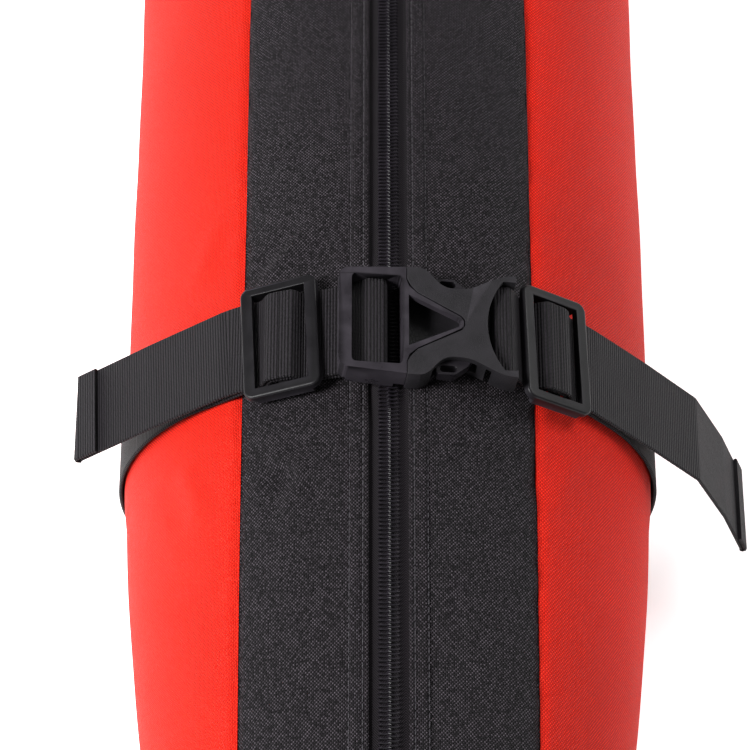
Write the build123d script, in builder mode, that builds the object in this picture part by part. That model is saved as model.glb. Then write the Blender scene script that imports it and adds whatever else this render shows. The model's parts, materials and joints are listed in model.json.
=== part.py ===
from build123d import *

import os
from math import acos, atan2, cos, degrees, pi, radians, sin, sqrt

# A padded bag for one pair of skis: a long soft tube of sewn panels with a zip along its
# crown and two webbing straps, each closed by a side-release buckle and two strap glides.
#
# Frame: millimetres. The bag lies on its back panel, with +Z up. +Y runs from the foot end
# to the head end and +X to the bag's right. The origin is the middle of the resting face.
#
# Words used for positions: "turn" is the angle round the bag's section, from 0 at its widest
# line to 90 at the crown and -90 at the edge of the flat base. "inset" is a distance in from
# the bag's outer surface, so a negative inset stands proud of it.

# ---------------------------------------------------------------- driving dimensions

HALF_LENGTH = 875.0
HALF_WIDTH = 106.0
HEIGHT = 168.0
WAIST_HEIGHT = 70.0
FLAT_HALF_WIDTH = 52.0
STRAP_Y = 540.0
TAPER_START = 530.0
TAPER_LENGTH = 455.0
TAPER_DROP = 0.5
TAPER_STOPS = [0.0, 55.0, 110.0, 165.0, 215.0, 270.0, 320.0]
CURVE_POINTS = 9

FABRIC = 1.2
PADDING = 3.8
END_CAP = 5.0
SEAM_X = 56.0
SEAM_SHARE = 0.66
LOWER_SEAM_TURN = 60.0

ZIP_HALF_GAP = 7.3
TAPE_THICKNESS = 0.8
TAPE_REACH = 18.0
TAPE_EDGE = 0.6
COIL_HALF_WIDTH = 3.9
COIL_GAP = 0.15
COIL_STAND = 1.0
CHAIN_END = 850.0

WEB_WIDTH = 38.0
WEB_THICKNESS = 1.5
LAYER_PITCH = 1.8
SURFACE_GAP = 0.3
BAR_GAP = 0.3
FIRST_LAYER = SURFACE_GAP + WEB_THICKNESS / 2

GLIDE_LENGTH = 31.0
GLIDE_HALF_WIDTH = 24.6
GLIDE_BAR = 4.8
GLIDE_CENTRE_BAR = 4.0
GLIDE_RAIL = 4.1
GLIDE_BOTTOM = 1.8
GLIDE_BAR_BOTTOM = 3.95
GLIDE_TOP = 6.95
GLIDE_CENTRE_TOP = 4.6
GLIDE_CORNER = 4.0
GLIDE_ROUND = 1.0
GLIDE_SEATS = {"left": (-38.9, 0.0, 0.0, 3.3), "right": (59.6, -4.5, 1.3, 1.7)}

BUCKLE_LEFT = -20.8
BUCKLE_RIGHT = 47.2
BUCKLE_JOIN = 4.2
BUCKLE_LIFT = 5.6
BUCKLE_HEIGHT = 11.0
BUCKLE_BAR_LOW = 3.2
BUCKLE_BAR_HIGH = 6.7
SLOT_LIP = 1.0
BAR_ROOTS = 2.0
BAR_SEARCH = 0.8
ROUNDING_SPARE = 0.05

MALE_LENGTH = 25.0
MALE_HALF_WIDTH = 23.2
MALE_END_HALF = 21.4
MALE_OVERLAP = 0.5
MALE_CORNER = 4.0
MALE_RAIL_END = 3.5
MALE_WINDOW_HALF = 19.2
MALE_WINDOW = (-20.2, -1.0)
MALE_WINDOW_CORNER = 1.8
MALE_BAR = (-12.9, -8.7)
MALE_STRAP_ROOM = 6.4
MALE_PLATE_LOW = 8.3
TRIANGLE_BASE = 4.7
TRIANGLE_HALF = 11.9
TRIANGLE_TIP = 24.1
TRIANGLE_TIP_HALF = 1.9
TRIANGLE_ROUND = 3.0
TRIANGLE_HOLE = (1.4, 11.1)
TRIANGLE_HOLE_TIP = (20.9, 1.5)
TRIANGLE_HOLE_ROUND = 2.2
PLATE_SHOULDER = (1.6, 14.8)

PRONG_ROOT = 2.4
PRONG_V = 16.6
PRONG_WIDTH = 3.6
PRONG_LEAN = 3.2
PRONG_TIP = 26.0
PRONG_LOW = 3.0
PRONG_HIGH = 7.8
BUTTON_START = 12.0
BUTTON_END = 19.0
BUTTON_MIDDLE = 16.5
BUTTON_REACH = 20.8
BUTTON_ROUND = 1.6
BUTTON_HOLE = (6.4, 2.8)

FEMALE_START = 0.8
FEMALE_END = 42.5
FEMALE_HALF = 23.4
FEMALE_END_HALF = 22.0
FEMALE_SHOULDER = 5.5
FEMALE_WAIST = [(9.0, 21.7), (12.0, 18.2), (15.5, 15.5), (20.0, 14.9), (25.0, 15.6)]
FEMALE_FLARE = [(30.5, 18.2), (36.0, 20.9)]
NOTCH_SHOULDER = (2.2, 15.4)
NOTCH_MOUTH = 19.6
NOTCH_GAP = 0.5
CAVITY_BACK = 2.0
FEMALE_BAR = (36.0, 39.8)
FEMALE_FLOOR = 2.4
FEMALE_ROOF = 8.2
CAVITY_HALF = 20.0
CAVITY_END = 27.6
SLOT_START = 30.6
SLOT_HALF = 19.3
SLOT_ROOF = 8.9
ARC_MIDDLE = 31.3
ARC_END = 37.5

TAIL_HEM = 10.0
LEFT_APPROACH = (8.8, -1.8, 7.7, 1.6)
RIGHT_APPROACH = (2.8, -0.2, 3.2, 3.6)
LEFT_TAIL = [(-64.2, 152.8), (-121.0, 111.0)]
RIGHT_TAIL = [(80.5, 139.0), (102.0, 115.5), (123.0, 91.0), (136.5, 60.0), (146.0, 32.0)]

LOOP_FOOT_SHARE = 0.62
LOOP_TIP_SHARE = 0.5
LOOP_BENDS = (4.0, 8.0, 8.0, 4.0)
STOP_ROUND = 1.0
FLANGE_DROP = 0.8
FLANGE_LENGTH = 9.0
SLIDER_CORNER = 3.0
LUG_RADIUS = 1.6
PIN_ROOTS = 1.0
PULL_PLAY = 0.6
PULL_NECK_END = 6.0
PULL_CORNER = 2.5
PULL_HOLE = (5.0, 2.4)
WRAP_GAP = 0.2
WRAP_CUT = 1.0
HUMP_SPREAD = 0.46
HUMP_FOOT = 7.8
HUMP_TOP = 4.0
WRAP_TOE = 3.0 - LOWER_SEAM_TURN
WRAP_STEP = 14.0
WRAP_POINTS = 8
WRAP_TOP = {-1: 47.0, 1: 42.0}
WEB_LEAD = 3.0
WEB_BEND = 1.4
LOOP_SLACK = 1.9
LOOP_NEAR = 0.5

HANDLE_WEB = 30.0
HANDLE_HALF_SPAN = 150.0
HANDLE_LOW_HALF = 92.0
HANDLE_LOW_Z = 100.0
HANDLE_LAY = 3.2
HANDLE_THICKNESS = 1.8
HANDLE_TURN = 57.0
HANDLE_BEND = 40.0
TAB_TURN = (57.6, 64.0)
TAB_THICKNESS = 3.0
WRAP_HALF_LENGTH = 55.0
WRAP_TURN = (6.5, 30.0)
WRAP_SLOT_TURN = (8.0, 28.4)
WRAP_LAY = 1.2
WRAP_THICKNESS = 6.0

LOOP_WEB = 25.0
LOOP_HALF_SPAN = 36.0
LOOP_REACH = 30.0
LOOP_THICKNESS = 3.0
LOOP_HEIGHT = 45.0

SLIDER_Y = 14.0
SLIDER_LENGTH = 15.0
SLIDER_HALF_WIDTH = 5.9
SLIDER_PLATE = 2.2
SLIDER_FLANGE = 1.6
RUNNING_GAP = 0.3
LUG_INNER = 2.0
LUG_THICKNESS = 1.4
PIN_RADIUS = 0.9
PIN_CLEARANCE = 0.05
PIN_LIFT = 1.9
PIN_Y = 5.2
EYE_RADIUS = 1.8
PULL_LENGTH = 32.0
PULL_NECK = 8.0
PULL_WIDTH = 9.0
PULL_THICKNESS = 1.8
PULL_DROOP = 4.0
STOP_SIZE = (8.4, 5.0, 3.4)


# ---------------------------------------------------------------- the bag's outline


def shrink(y):
    """Size of the section at y, as a share of the full one: half a cosine wave past the straps."""
    beyond = max(abs(y) - TAPER_START, 0.0) / TAPER_LENGTH
    return 1.0 - TAPER_DROP * (1.0 - cos(pi * beyond)) / 2


def rim(y, turn, inset=0.0):
    """Point (x, z) of the right half of the section: half ellipses above and below the waist."""
    size = shrink(y)
    waist = WAIST_HEIGHT * size
    if turn >= 0:
        across = HALF_WIDTH * size - inset
        up = (HEIGHT - WAIST_HEIGHT) * size - inset
        return across * cos(radians(turn)), waist + up * sin(radians(turn))
    flat = FLAT_HALF_WIDTH * size
    across = HALF_WIDTH * size - flat - inset
    return flat + across * cos(radians(turn)), waist + (waist - inset) * sin(radians(turn))


def turn_at(y, x):
    """Turn of the point of the upper section that lies x from the middle."""
    return degrees(acos(x / (HALF_WIDTH * shrink(y))))


def seam_turn(y):
    """Turn of the seam between a front panel and a side panel."""
    return turn_at(y, min(SEAM_X, SEAM_SHARE * HALF_WIDTH * shrink(y)))


def crown(x):
    """Height of the full section's upper surface at x."""
    return WAIST_HEIGHT + (HEIGHT - WAIST_HEIGHT) * sqrt(1.0 - (x / HALF_WIDTH) ** 2)


def crown_lean(x):
    """Slope of the full section's upper surface at x, in degrees."""
    return -degrees(atan2((HEIGHT - WAIST_HEIGHT) * x / HALF_WIDTH, sqrt(HALF_WIDTH**2 - x**2)))


def stops(end):
    """Places along the bag where its section is drawn, out to end."""
    steps = [TAPER_START + stop for stop in TAPER_STOPS if TAPER_START + stop < end] + [end]
    return [-y for y in reversed(steps)] + steps


def spread(first, last):
    """Evenly spaced turns from first to last."""
    return [first + (last - first) * i / (CURVE_POINTS - 1) for i in range(CURVE_POINTS)]


os.makedirs("parts", exist_ok=True)
PANEL_END = HALF_LENGTH - END_CAP


# ---------------------------------------------------------------- panels, padding and zip chain


def make_band(label, side, upper, lower, outer, inner, end):
    """Long strip of the bag's wall between two turns and two insets, on one side."""
    with BuildPart() as band:
        for y in stops(end):
            turns = spread(upper(y), lower(y))
            skin = [(side * rim(y, t, outer)[0], rim(y, t, outer)[1]) for t in turns]
            back = [(side * rim(y, t, inner)[0], rim(y, t, inner)[1]) for t in turns]
            with BuildSketch(Plane.XZ.offset(-y)):
                with BuildLine():
                    Spline(*skin)
                    Line(skin[-1], back[-1])
                    Spline(*reversed(back))
                    Line(back[0], skin[0])
                make_face()
        loft(ruled=True)
    band.part.label = label
    export_step(band.part, f"parts/{label}.step")


def make_back(label, outer, inner):
    """Strip across the flat base and up to both lower seams."""
    turns = spread(-LOWER_SEAM_TURN, -90.0)
    with BuildPart() as back:
        for y in stops(PANEL_END):
            skin = [rim(y, t, outer) for t in turns]
            lining = [rim(y, t, inner) for t in turns]
            with BuildSketch(Plane.XZ.offset(-y)):
                with BuildLine():
                    Spline(*skin)
                    Line(skin[-1], (-skin[-1][0], skin[-1][1]))
                    Spline(*[(-x, z) for x, z in reversed(skin)])
                    Line((-skin[0][0], skin[0][1]), (-lining[0][0], lining[0][1]))
                    Spline(*[(-x, z) for x, z in lining])
                    Line((-lining[-1][0], lining[-1][1]), lining[-1])
                    Spline(*reversed(lining))
                    Line(lining[0], skin[0])
                make_face()
        loft(ruled=True)
    back.part.label = label
    export_step(back.part, f"parts/{label}.step")


LINED = FABRIC + PADDING
for name, side in (("left", -1), ("right", 1)):
    make_band(
        f"front_panel_{name}",
        side,
        lambda y: turn_at(y, ZIP_HALF_GAP),
        seam_turn,
        0.0,
        FABRIC,
        PANEL_END,
    )
    make_band(
        f"front_padding_{name}",
        side,
        lambda y: turn_at(y, TAPE_REACH + 1.0),
        seam_turn,
        FABRIC,
        LINED,
        PANEL_END,
    )
    make_band(
        f"side_panel_{name}", side, seam_turn, lambda y: -LOWER_SEAM_TURN, 0.0, FABRIC, PANEL_END
    )
    make_band(
        f"side_padding_{name}", side, seam_turn, lambda y: -LOWER_SEAM_TURN, FABRIC, LINED, PANEL_END
    )
    make_band(
        f"zip_tape_{name}",
        side,
        lambda y: turn_at(y, TAPE_EDGE),
        lambda y: turn_at(y, TAPE_REACH),
        FABRIC,
        FABRIC + TAPE_THICKNESS,
        PANEL_END,
    )
    make_band(
        f"zip_coil_{name}",
        side,
        lambda y: turn_at(y, COIL_GAP),
        lambda y: turn_at(y, COIL_HALF_WIDTH),
        -COIL_STAND,
        FABRIC,
        CHAIN_END,
    )
make_back("back_panel", 0.0, FABRIC)
make_back("back_padding", FABRIC, LINED)


# ---------------------------------------------------------------- ends: caps, loops, zip stops


def make_end_cap(label, end):
    """Oval panel that closes one end of the tube."""
    y = end * PANEL_END
    upper = [rim(y, t) for t in spread(90.0, 0.0)]
    lower = [rim(y, t) for t in spread(0.0, -90.0)]
    with BuildPart() as cap:
        with BuildSketch(Plane.XZ.offset(-y)):
            with BuildLine():
                Spline(*upper)
                Spline(*lower)
                Line(lower[-1], (-lower[-1][0], lower[-1][1]))
                Spline(*[(-x, z) for x, z in reversed(lower)])
                Spline(*[(-x, z) for x, z in reversed(upper)])
            make_face()
        extrude(amount=-end * END_CAP)
    cap.part.label = label
    export_step(cap.part, f"parts/{label}.step")


def make_grab_loop(label, end):
    """Webbing loop sewn across an end cap, standing out from it."""
    half = LOOP_THICKNESS / 2
    foot = end * (HALF_LENGTH + half)
    tip = end * (HALF_LENGTH + LOOP_REACH)
    with BuildPart() as grab:
        with BuildSketch(Plane.XY.offset(LOOP_HEIGHT - LOOP_WEB / 2)):
            with BuildLine() as path:
                FilletPolyline(
                    (-LOOP_HALF_SPAN, foot),
                    (-LOOP_HALF_SPAN * LOOP_FOOT_SHARE, foot),
                    (-LOOP_HALF_SPAN * LOOP_TIP_SHARE, tip),
                    (LOOP_HALF_SPAN * LOOP_TIP_SHARE, tip),
                    (LOOP_HALF_SPAN * LOOP_FOOT_SHARE, foot),
                    (LOOP_HALF_SPAN, foot),
                    radius=LOOP_BENDS,
                )
            trace(path.line, LOOP_THICKNESS)
        extrude(amount=LOOP_WEB)
    grab.part.label = label
    export_step(grab.part, f"parts/{label}.step")


def make_zip_stop(label, end):
    """Metal stop that closes the end of the chain."""
    y = end * (CHAIN_END + STOP_SIZE[1] / 2 + RUNNING_GAP)
    top = rim(y, 90.0)[1] + STOP_SIZE[2] / 2
    with BuildPart(Plane((0, y, top))) as stop:
        Box(*STOP_SIZE)
        fillet(stop.edges().filter_by(Axis.Y), STOP_ROUND)
    stop.part.label = label
    export_step(stop.part, f"parts/{label}.step")


for name, end in (("foot", -1), ("head", 1)):
    make_end_cap(f"end_cap_{name}", end)
    make_grab_loop(f"grab_loop_{name}", end)
    make_zip_stop(f"zip_stop_{name}", end)


# ---------------------------------------------------------------- zip sliders and pulls

PLATE_Z = HEIGHT + COIL_STAND + RUNNING_GAP
PIN_Z = PLATE_Z + SLIDER_PLATE + PIN_LIFT


def make_slider(label, end):
    """Slider body: a plate over the coil, two flanges beside it, and lugs with the pull's pin."""
    lug_x = LUG_INNER + LUG_THICKNESS / 2
    flange_x = SLIDER_HALF_WIDTH - SLIDER_FLANGE / 2
    flange_depth = COIL_STAND + RUNNING_GAP + FLANGE_DROP
    with BuildPart() as slider:
        with BuildSketch(Plane.XY.offset(PLATE_Z)):
            with Locations((0, end * SLIDER_Y)):
                RectangleRounded(2 * SLIDER_HALF_WIDTH, SLIDER_LENGTH, SLIDER_CORNER)
        extrude(amount=SLIDER_PLATE)
        with Locations((0, end * SLIDER_Y, PLATE_Z - flange_depth / 2)):
            with GridLocations(2 * flange_x, 0, 2, 1):
                Box(SLIDER_FLANGE, FLANGE_LENGTH, flange_depth)
        with Locations((0, end * (SLIDER_Y + PIN_Y), PLATE_Z + SLIDER_PLATE + PIN_LIFT / 2)):
            with GridLocations(2 * lug_x, 0, 2, 1):
                Box(LUG_THICKNESS, 2 * LUG_RADIUS, PIN_LIFT)
        with Locations((0, end * (SLIDER_Y + PIN_Y), PIN_Z)):
            with GridLocations(2 * lug_x, 0, 2, 1):
                Cylinder(LUG_RADIUS, LUG_THICKNESS, rotation=(0, 90, 0))
            Cylinder(PIN_RADIUS, 2 * LUG_INNER + PIN_ROOTS, rotation=(0, 90, 0))
    slider.part.label = label
    export_step(slider.part, f"parts/{label}.step")


def make_pull(label, end):
    """Pull tab: an eye round the slider's pin and a tongue that droops to the chain."""
    droop = radians(PULL_DROOP)
    base = Plane(
        origin=(0, end * (SLIDER_Y + PIN_Y), PIN_Z),
        x_dir=(0, end * cos(droop), -sin(droop)),
        z_dir=(0, end * sin(droop), cos(droop)),
    )
    with BuildPart(base) as pull:
        with Locations((PULL_NECK / 2, 0, 0)):
            Box(PULL_NECK, 2 * LUG_INNER - PULL_PLAY, PULL_THICKNESS)
        Cylinder(EYE_RADIUS, 2 * LUG_INNER - PULL_PLAY, rotation=(90, 0, 0))
        Cylinder(PIN_RADIUS + PIN_CLEARANCE, PULL_WIDTH, rotation=(90, 0, 0), mode=Mode.SUBTRACT)
        with BuildSketch(base.offset(-PULL_THICKNESS / 2)):
            with Locations(((PULL_LENGTH + PULL_NECK_END) / 2, 0)):
                RectangleRounded(PULL_LENGTH - PULL_NECK_END, PULL_WIDTH, PULL_CORNER)
            with Locations((PULL_LENGTH - PULL_HOLE[0], 0)):
                SlotOverall(*PULL_HOLE, rotation=90, mode=Mode.SUBTRACT)
        extrude(amount=PULL_THICKNESS)
    pull.part.label = label
    export_step(pull.part, f"parts/{label}.step")


for name, end in (("foot", -1), ("head", 1)):
    make_slider(f"zip_slider_{name}", end)
    make_pull(f"zip_pull_{name}", end)


# ---------------------------------------------------------------- carry handles


def make_handle(label, side):
    """Webbing loop that lies over a side panel, hanging from the upper seam."""
    turns = spread(HANDLE_TURN, 0.0)
    inner = [rim(0, t, -HANDLE_LAY) for t in turns]
    outer = [rim(0, t, -HANDLE_LAY - HANDLE_THICKNESS) for t in turns]
    with BuildPart() as handle:
        with BuildSketch(Plane.XZ):
            with BuildLine():
                Spline(*[(side * x, z) for x, z in inner])
                Line((side * inner[-1][0], inner[-1][1]), (side * outer[-1][0], outer[-1][1]))
                Spline(*[(side * x, z) for x, z in reversed(outer)])
                Line((side * outer[0][0], outer[0][1]), (side * inner[0][0], inner[0][1]))
            make_face()
        extrude(amount=HANDLE_HALF_SPAN + HANDLE_WEB, both=True)
        with BuildSketch(Plane.YZ):
            with BuildLine() as path:
                FilletPolyline(
                    (-HANDLE_HALF_SPAN - HANDLE_WEB / 4, HEIGHT),
                    (-HANDLE_LOW_HALF, HANDLE_LOW_Z),
                    (HANDLE_LOW_HALF, HANDLE_LOW_Z),
                    (HANDLE_HALF_SPAN + HANDLE_WEB / 4, HEIGHT),
                    radius=HANDLE_BEND,
                )
            trace(path.line, HANDLE_WEB)
        extrude(amount=side * 2 * HALF_WIDTH, mode=Mode.INTERSECT)
    handle.part.label = label
    export_step(handle.part, f"parts/{label}.step")


def band_face_points(side, turns, outer, inner):
    """Corner-to-corner point lists of a thin curved strip in the full section."""
    skin = [(side * rim(0, t, outer)[0], rim(0, t, outer)[1]) for t in spread(*turns)]
    back = [(side * rim(0, t, inner)[0], rim(0, t, inner)[1]) for t in spread(*turns)]
    return skin, back


def make_tabs(label, side):
    """Two sewn webbing tabs that a handle's ends are held by."""
    skin, back = band_face_points(side, TAB_TURN, -TAB_THICKNESS, 0.0)
    with BuildPart() as tabs:
        for y in (-HANDLE_HALF_SPAN, HANDLE_HALF_SPAN):
            with BuildSketch(Plane.XZ.offset(-y)):
                with BuildLine():
                    Spline(*skin)
                    Line(skin[-1], back[-1])
                    Spline(*reversed(back))
                    Line(back[0], skin[0])
                make_face()
            extrude(amount=HANDLE_WEB / 2, both=True)
    tabs.part.label = label
    export_step(tabs.part, f"parts/{label}.step")


def make_wrap(label, side):
    """Padded grip that closes round the middle of a handle."""
    skin, back = band_face_points(side, WRAP_TURN, -WRAP_LAY - WRAP_THICKNESS, -WRAP_LAY)
    gap = WRAP_GAP
    hole_skin, hole_back = band_face_points(
        side, WRAP_SLOT_TURN, -HANDLE_LAY - HANDLE_THICKNESS - gap, -HANDLE_LAY + gap
    )
    with BuildPart() as wrap:
        with BuildSketch(Plane.XZ):
            with BuildLine():
                Spline(*skin)
                Line(skin[-1], back[-1])
                Spline(*reversed(back))
                Line(back[0], skin[0])
            make_face()
        extrude(amount=WRAP_HALF_LENGTH, both=True)
        with BuildSketch(Plane.XZ):
            with BuildLine():
                Spline(*hole_skin)
                Line(hole_skin[-1], hole_back[-1])
                Spline(*reversed(hole_back))
                Line(hole_back[0], hole_skin[0])
            make_face()
        extrude(amount=WRAP_HALF_LENGTH + WRAP_CUT, both=True, mode=Mode.SUBTRACT)
    wrap.part.label = label
    export_step(wrap.part, f"parts/{label}.step")


for name, side in (("left", -1), ("right", 1)):
    make_handle(f"handle_{name}", side)
    make_tabs(f"handle_tabs_{name}", side)
make_wrap("handle_wrap", -1)


# ---------------------------------------------------------------- seats of the strap hardware


def buckle_seat(y):
    """Plane of a buckle's underside: x along the strap from the joint line, z off the bag."""
    lean = atan2(crown(BUCKLE_RIGHT) - crown(BUCKLE_LEFT), BUCKLE_RIGHT - BUCKLE_LEFT)
    chord = crown(BUCKLE_LEFT) + (BUCKLE_JOIN - BUCKLE_LEFT) * sin(lean) / cos(lean)
    origin = (BUCKLE_JOIN - BUCKLE_LIFT * sin(lean), y, chord + BUCKLE_LIFT * cos(lean))
    return Plane(origin, x_dir=(cos(lean), 0, sin(lean)), z_dir=(-sin(lean), 0, cos(lean)))


def glide_seat(name, y, turned=True):
    """Plane under a strap glide: x along the strap, z off the bag."""
    x, tilt, lift, yaw = GLIDE_SEATS[name]
    lean = radians(crown_lean(x) + tilt)
    origin = (x - lift * sin(lean), y, crown(x) + lift * cos(lean))
    skew = radians(yaw) if turned else 0.0
    way = (cos(lean) * cos(skew), sin(skew), sin(lean) * cos(skew))
    return Plane(origin, x_dir=way, z_dir=(-sin(lean), 0, cos(lean)))


def on_seat(seat, along, up):
    """Point (x, z) of the bag's section from a seat's own distances."""
    point = seat.from_local_coords((along, 0, up))
    return point.X, point.Z


# ---------------------------------------------------------------- strap glide


def make_glide(label, seat):
    """Rectangular slide with a lower centre bar that the webbing is folded over."""
    rail_v = GLIDE_HALF_WIDTH - GLIDE_RAIL / 2
    with BuildPart() as glide:
        with BuildSketch(seat.offset(GLIDE_BAR_BOTTOM)):
            RectangleRounded(GLIDE_LENGTH, 2 * GLIDE_HALF_WIDTH, GLIDE_CORNER)
            Rectangle(
                GLIDE_LENGTH - 2 * GLIDE_BAR,
                2 * (GLIDE_HALF_WIDTH - GLIDE_RAIL),
                mode=Mode.SUBTRACT,
            )
        extrude(amount=GLIDE_TOP - GLIDE_BAR_BOTTOM)
        with BuildSketch(seat.offset(GLIDE_BOTTOM)):
            with GridLocations(0, 2 * rail_v, 1, 2):
                Rectangle(GLIDE_LENGTH - 2 * GLIDE_CORNER, GLIDE_RAIL)
        extrude(amount=GLIDE_BAR_BOTTOM - GLIDE_BOTTOM)
        with BuildSketch(seat.offset(GLIDE_BOTTOM)):
            Rectangle(GLIDE_CENTRE_BAR, 2 * rail_v)
        extrude(amount=GLIDE_CENTRE_TOP - GLIDE_BOTTOM)
        top = glide.faces().sort_by(Axis(seat.origin, seat.z_dir))[-1]
        fillet(top.outer_wire().edges(), GLIDE_ROUND)
    glide.part.label = label
    export_step(glide.part, f"parts/{label}.step")


# ---------------------------------------------------------------- buckle


def triangle_points(grow):
    """Right-pointing triangle's corners, each side moved out by grow."""
    tip = TRIANGLE_TIP - TRIANGLE_TIP_HALF + grow
    return [
        (TRIANGLE_BASE, TRIANGLE_HALF + grow),
        (tip, TRIANGLE_TIP_HALF + grow),
        (tip, -TRIANGLE_TIP_HALF - grow),
        (TRIANGLE_BASE, -TRIANGLE_HALF - grow),
    ]


def make_male(label, seat):
    """Male half: webbing frame, its bar, and the flat triangular ring that lies in the female."""
    window_length = MALE_WINDOW[1] - MALE_WINDOW[0]
    window_middle = (MALE_WINDOW[0] + MALE_WINDOW[1]) / 2
    bar_radius = (BUCKLE_BAR_HIGH - BUCKLE_BAR_LOW) / 2
    bar_length = MALE_BAR[1] - MALE_BAR[0]
    bar_middle = (MALE_BAR[0] + MALE_BAR[1]) / 2
    frame = [
        (-MALE_LENGTH, MALE_END_HALF),
        (MALE_OVERLAP, MALE_HALF_WIDTH),
        (MALE_OVERLAP, -MALE_HALF_WIDTH),
        (-MALE_LENGTH, -MALE_END_HALF),
    ]
    with BuildPart() as male:
        with BuildSketch(seat.offset(BUCKLE_BAR_LOW - SLOT_LIP)):
            with BuildLine():
                Polyline(*frame, close=True)
            make_face()
            fillet(vertices().sort_by(Axis.X)[:2], MALE_CORNER)
            with Locations((window_middle, 0)):
                RectangleRounded(
                    window_length, 2 * MALE_WINDOW_HALF, MALE_WINDOW_CORNER, mode=Mode.SUBTRACT
                )
        extrude(amount=BUCKLE_HEIGHT - BUCKLE_BAR_LOW + SLOT_LIP)
        with BuildSketch(seat):
            with BuildLine():
                Polyline(*frame, close=True)
            make_face()
            Rectangle(4 * MALE_LENGTH, 2 * MALE_WINDOW_HALF, mode=Mode.SUBTRACT)
            with Locations((-MALE_LENGTH, 0), (0, 0)):
                Rectangle(2 * MALE_RAIL_END, 2 * MALE_LENGTH, mode=Mode.SUBTRACT)
        extrude(amount=BUCKLE_BAR_LOW)
        with BuildSketch(seat.offset(-SLOT_LIP)):
            with Locations((-MALE_LENGTH, 0)):
                Rectangle(2 * (MALE_LENGTH + MALE_WINDOW[0]), 2 * MALE_WINDOW_HALF)
        extrude(amount=MALE_STRAP_ROOM + SLOT_LIP, mode=Mode.SUBTRACT)
        with BuildSketch(seat.offset(BUCKLE_BAR_LOW)):
            with Locations((bar_middle, 0)):
                Rectangle(bar_length, 2 * MALE_WINDOW_HALF + BAR_ROOTS)
        extrude(amount=BUCKLE_BAR_HIGH - BUCKLE_BAR_LOW)
        bar_edges = male.edges().filter_by(Axis.Y).filter_by_position(
            Axis.X,
            on_seat(seat, MALE_BAR[0] - BAR_SEARCH, BUCKLE_BAR_LOW)[0],
            on_seat(seat, MALE_BAR[1] + BAR_SEARCH, BUCKLE_BAR_HIGH)[0],
        )
        fillet(bar_edges, bar_radius - ROUNDING_SPARE)
        with BuildSketch(seat.offset(MALE_PLATE_LOW)):
            with BuildLine():
                Polyline(
                    (0.0, MALE_WINDOW_HALF),
                    PLATE_SHOULDER,
                    *triangle_points(0.0),
                    (PLATE_SHOULDER[0], -PLATE_SHOULDER[1]),
                    (0.0, -MALE_WINDOW_HALF),
                    close=True,
                )
            make_face()
            fillet(vertices().sort_by(Axis.X)[-2:], TRIANGLE_ROUND)
            with BuildSketch(mode=Mode.SUBTRACT):
                with BuildLine():
                    Polyline(
                        TRIANGLE_HOLE,
                        TRIANGLE_HOLE_TIP,
                        (TRIANGLE_HOLE_TIP[0], -TRIANGLE_HOLE_TIP[1]),
                        (TRIANGLE_HOLE[0], -TRIANGLE_HOLE[1]),
                        close=True,
                    )
                make_face()
                fillet(vertices().sort_by(Axis.X)[-2:], TRIANGLE_HOLE_ROUND)
        extrude(amount=BUCKLE_HEIGHT - MALE_PLATE_LOW)
    male.part.label = label
    export_step(male.part, f"parts/{label}.step")


def make_prong(label, seat, side):
    """Springy arm of the male half, with the button that the fingers press."""
    outer = PRONG_V + PRONG_WIDTH / 2
    inner = PRONG_V - PRONG_WIDTH / 2
    with BuildPart() as prong:
        with BuildSketch(seat.offset(PRONG_LOW)):
            with BuildLine():
                Polyline(
                    (PRONG_ROOT, side * inner),
                    (PRONG_TIP - PRONG_WIDTH, side * (inner - PRONG_LEAN)),
                    (PRONG_TIP, side * (PRONG_V - PRONG_LEAN)),
                    (PRONG_TIP - PRONG_WIDTH / 2, side * PRONG_V),
                    (BUTTON_END, side * BUTTON_REACH),
                    (BUTTON_START, side * BUTTON_REACH),
                    (BUTTON_START, side * (outer - BUTTON_ROUND)),
                    (PRONG_ROOT, side * outer),
                    close=True,
                )
            make_face()
            button_corners = vertices().sort_by(lambda corner: side * corner.Y)[-2:]
            fillet(button_corners, BUTTON_ROUND)
            with Locations((BUTTON_MIDDLE, side * outer)):
                SlotOverall(*BUTTON_HOLE, mode=Mode.SUBTRACT)
        extrude(amount=PRONG_HIGH - PRONG_LOW)
        with Locations(seat.offset(PRONG_LOW) * Location((PRONG_ROOT, side * PRONG_V, 0))):
            Cylinder(
                PRONG_WIDTH / 2 - RUNNING_GAP,
                PRONG_HIGH - PRONG_LOW,
                align=(Align.CENTER, Align.CENTER, Align.MIN),
            )
    prong.part.label = label
    export_step(prong.part, f"parts/{label}.step")


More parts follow.
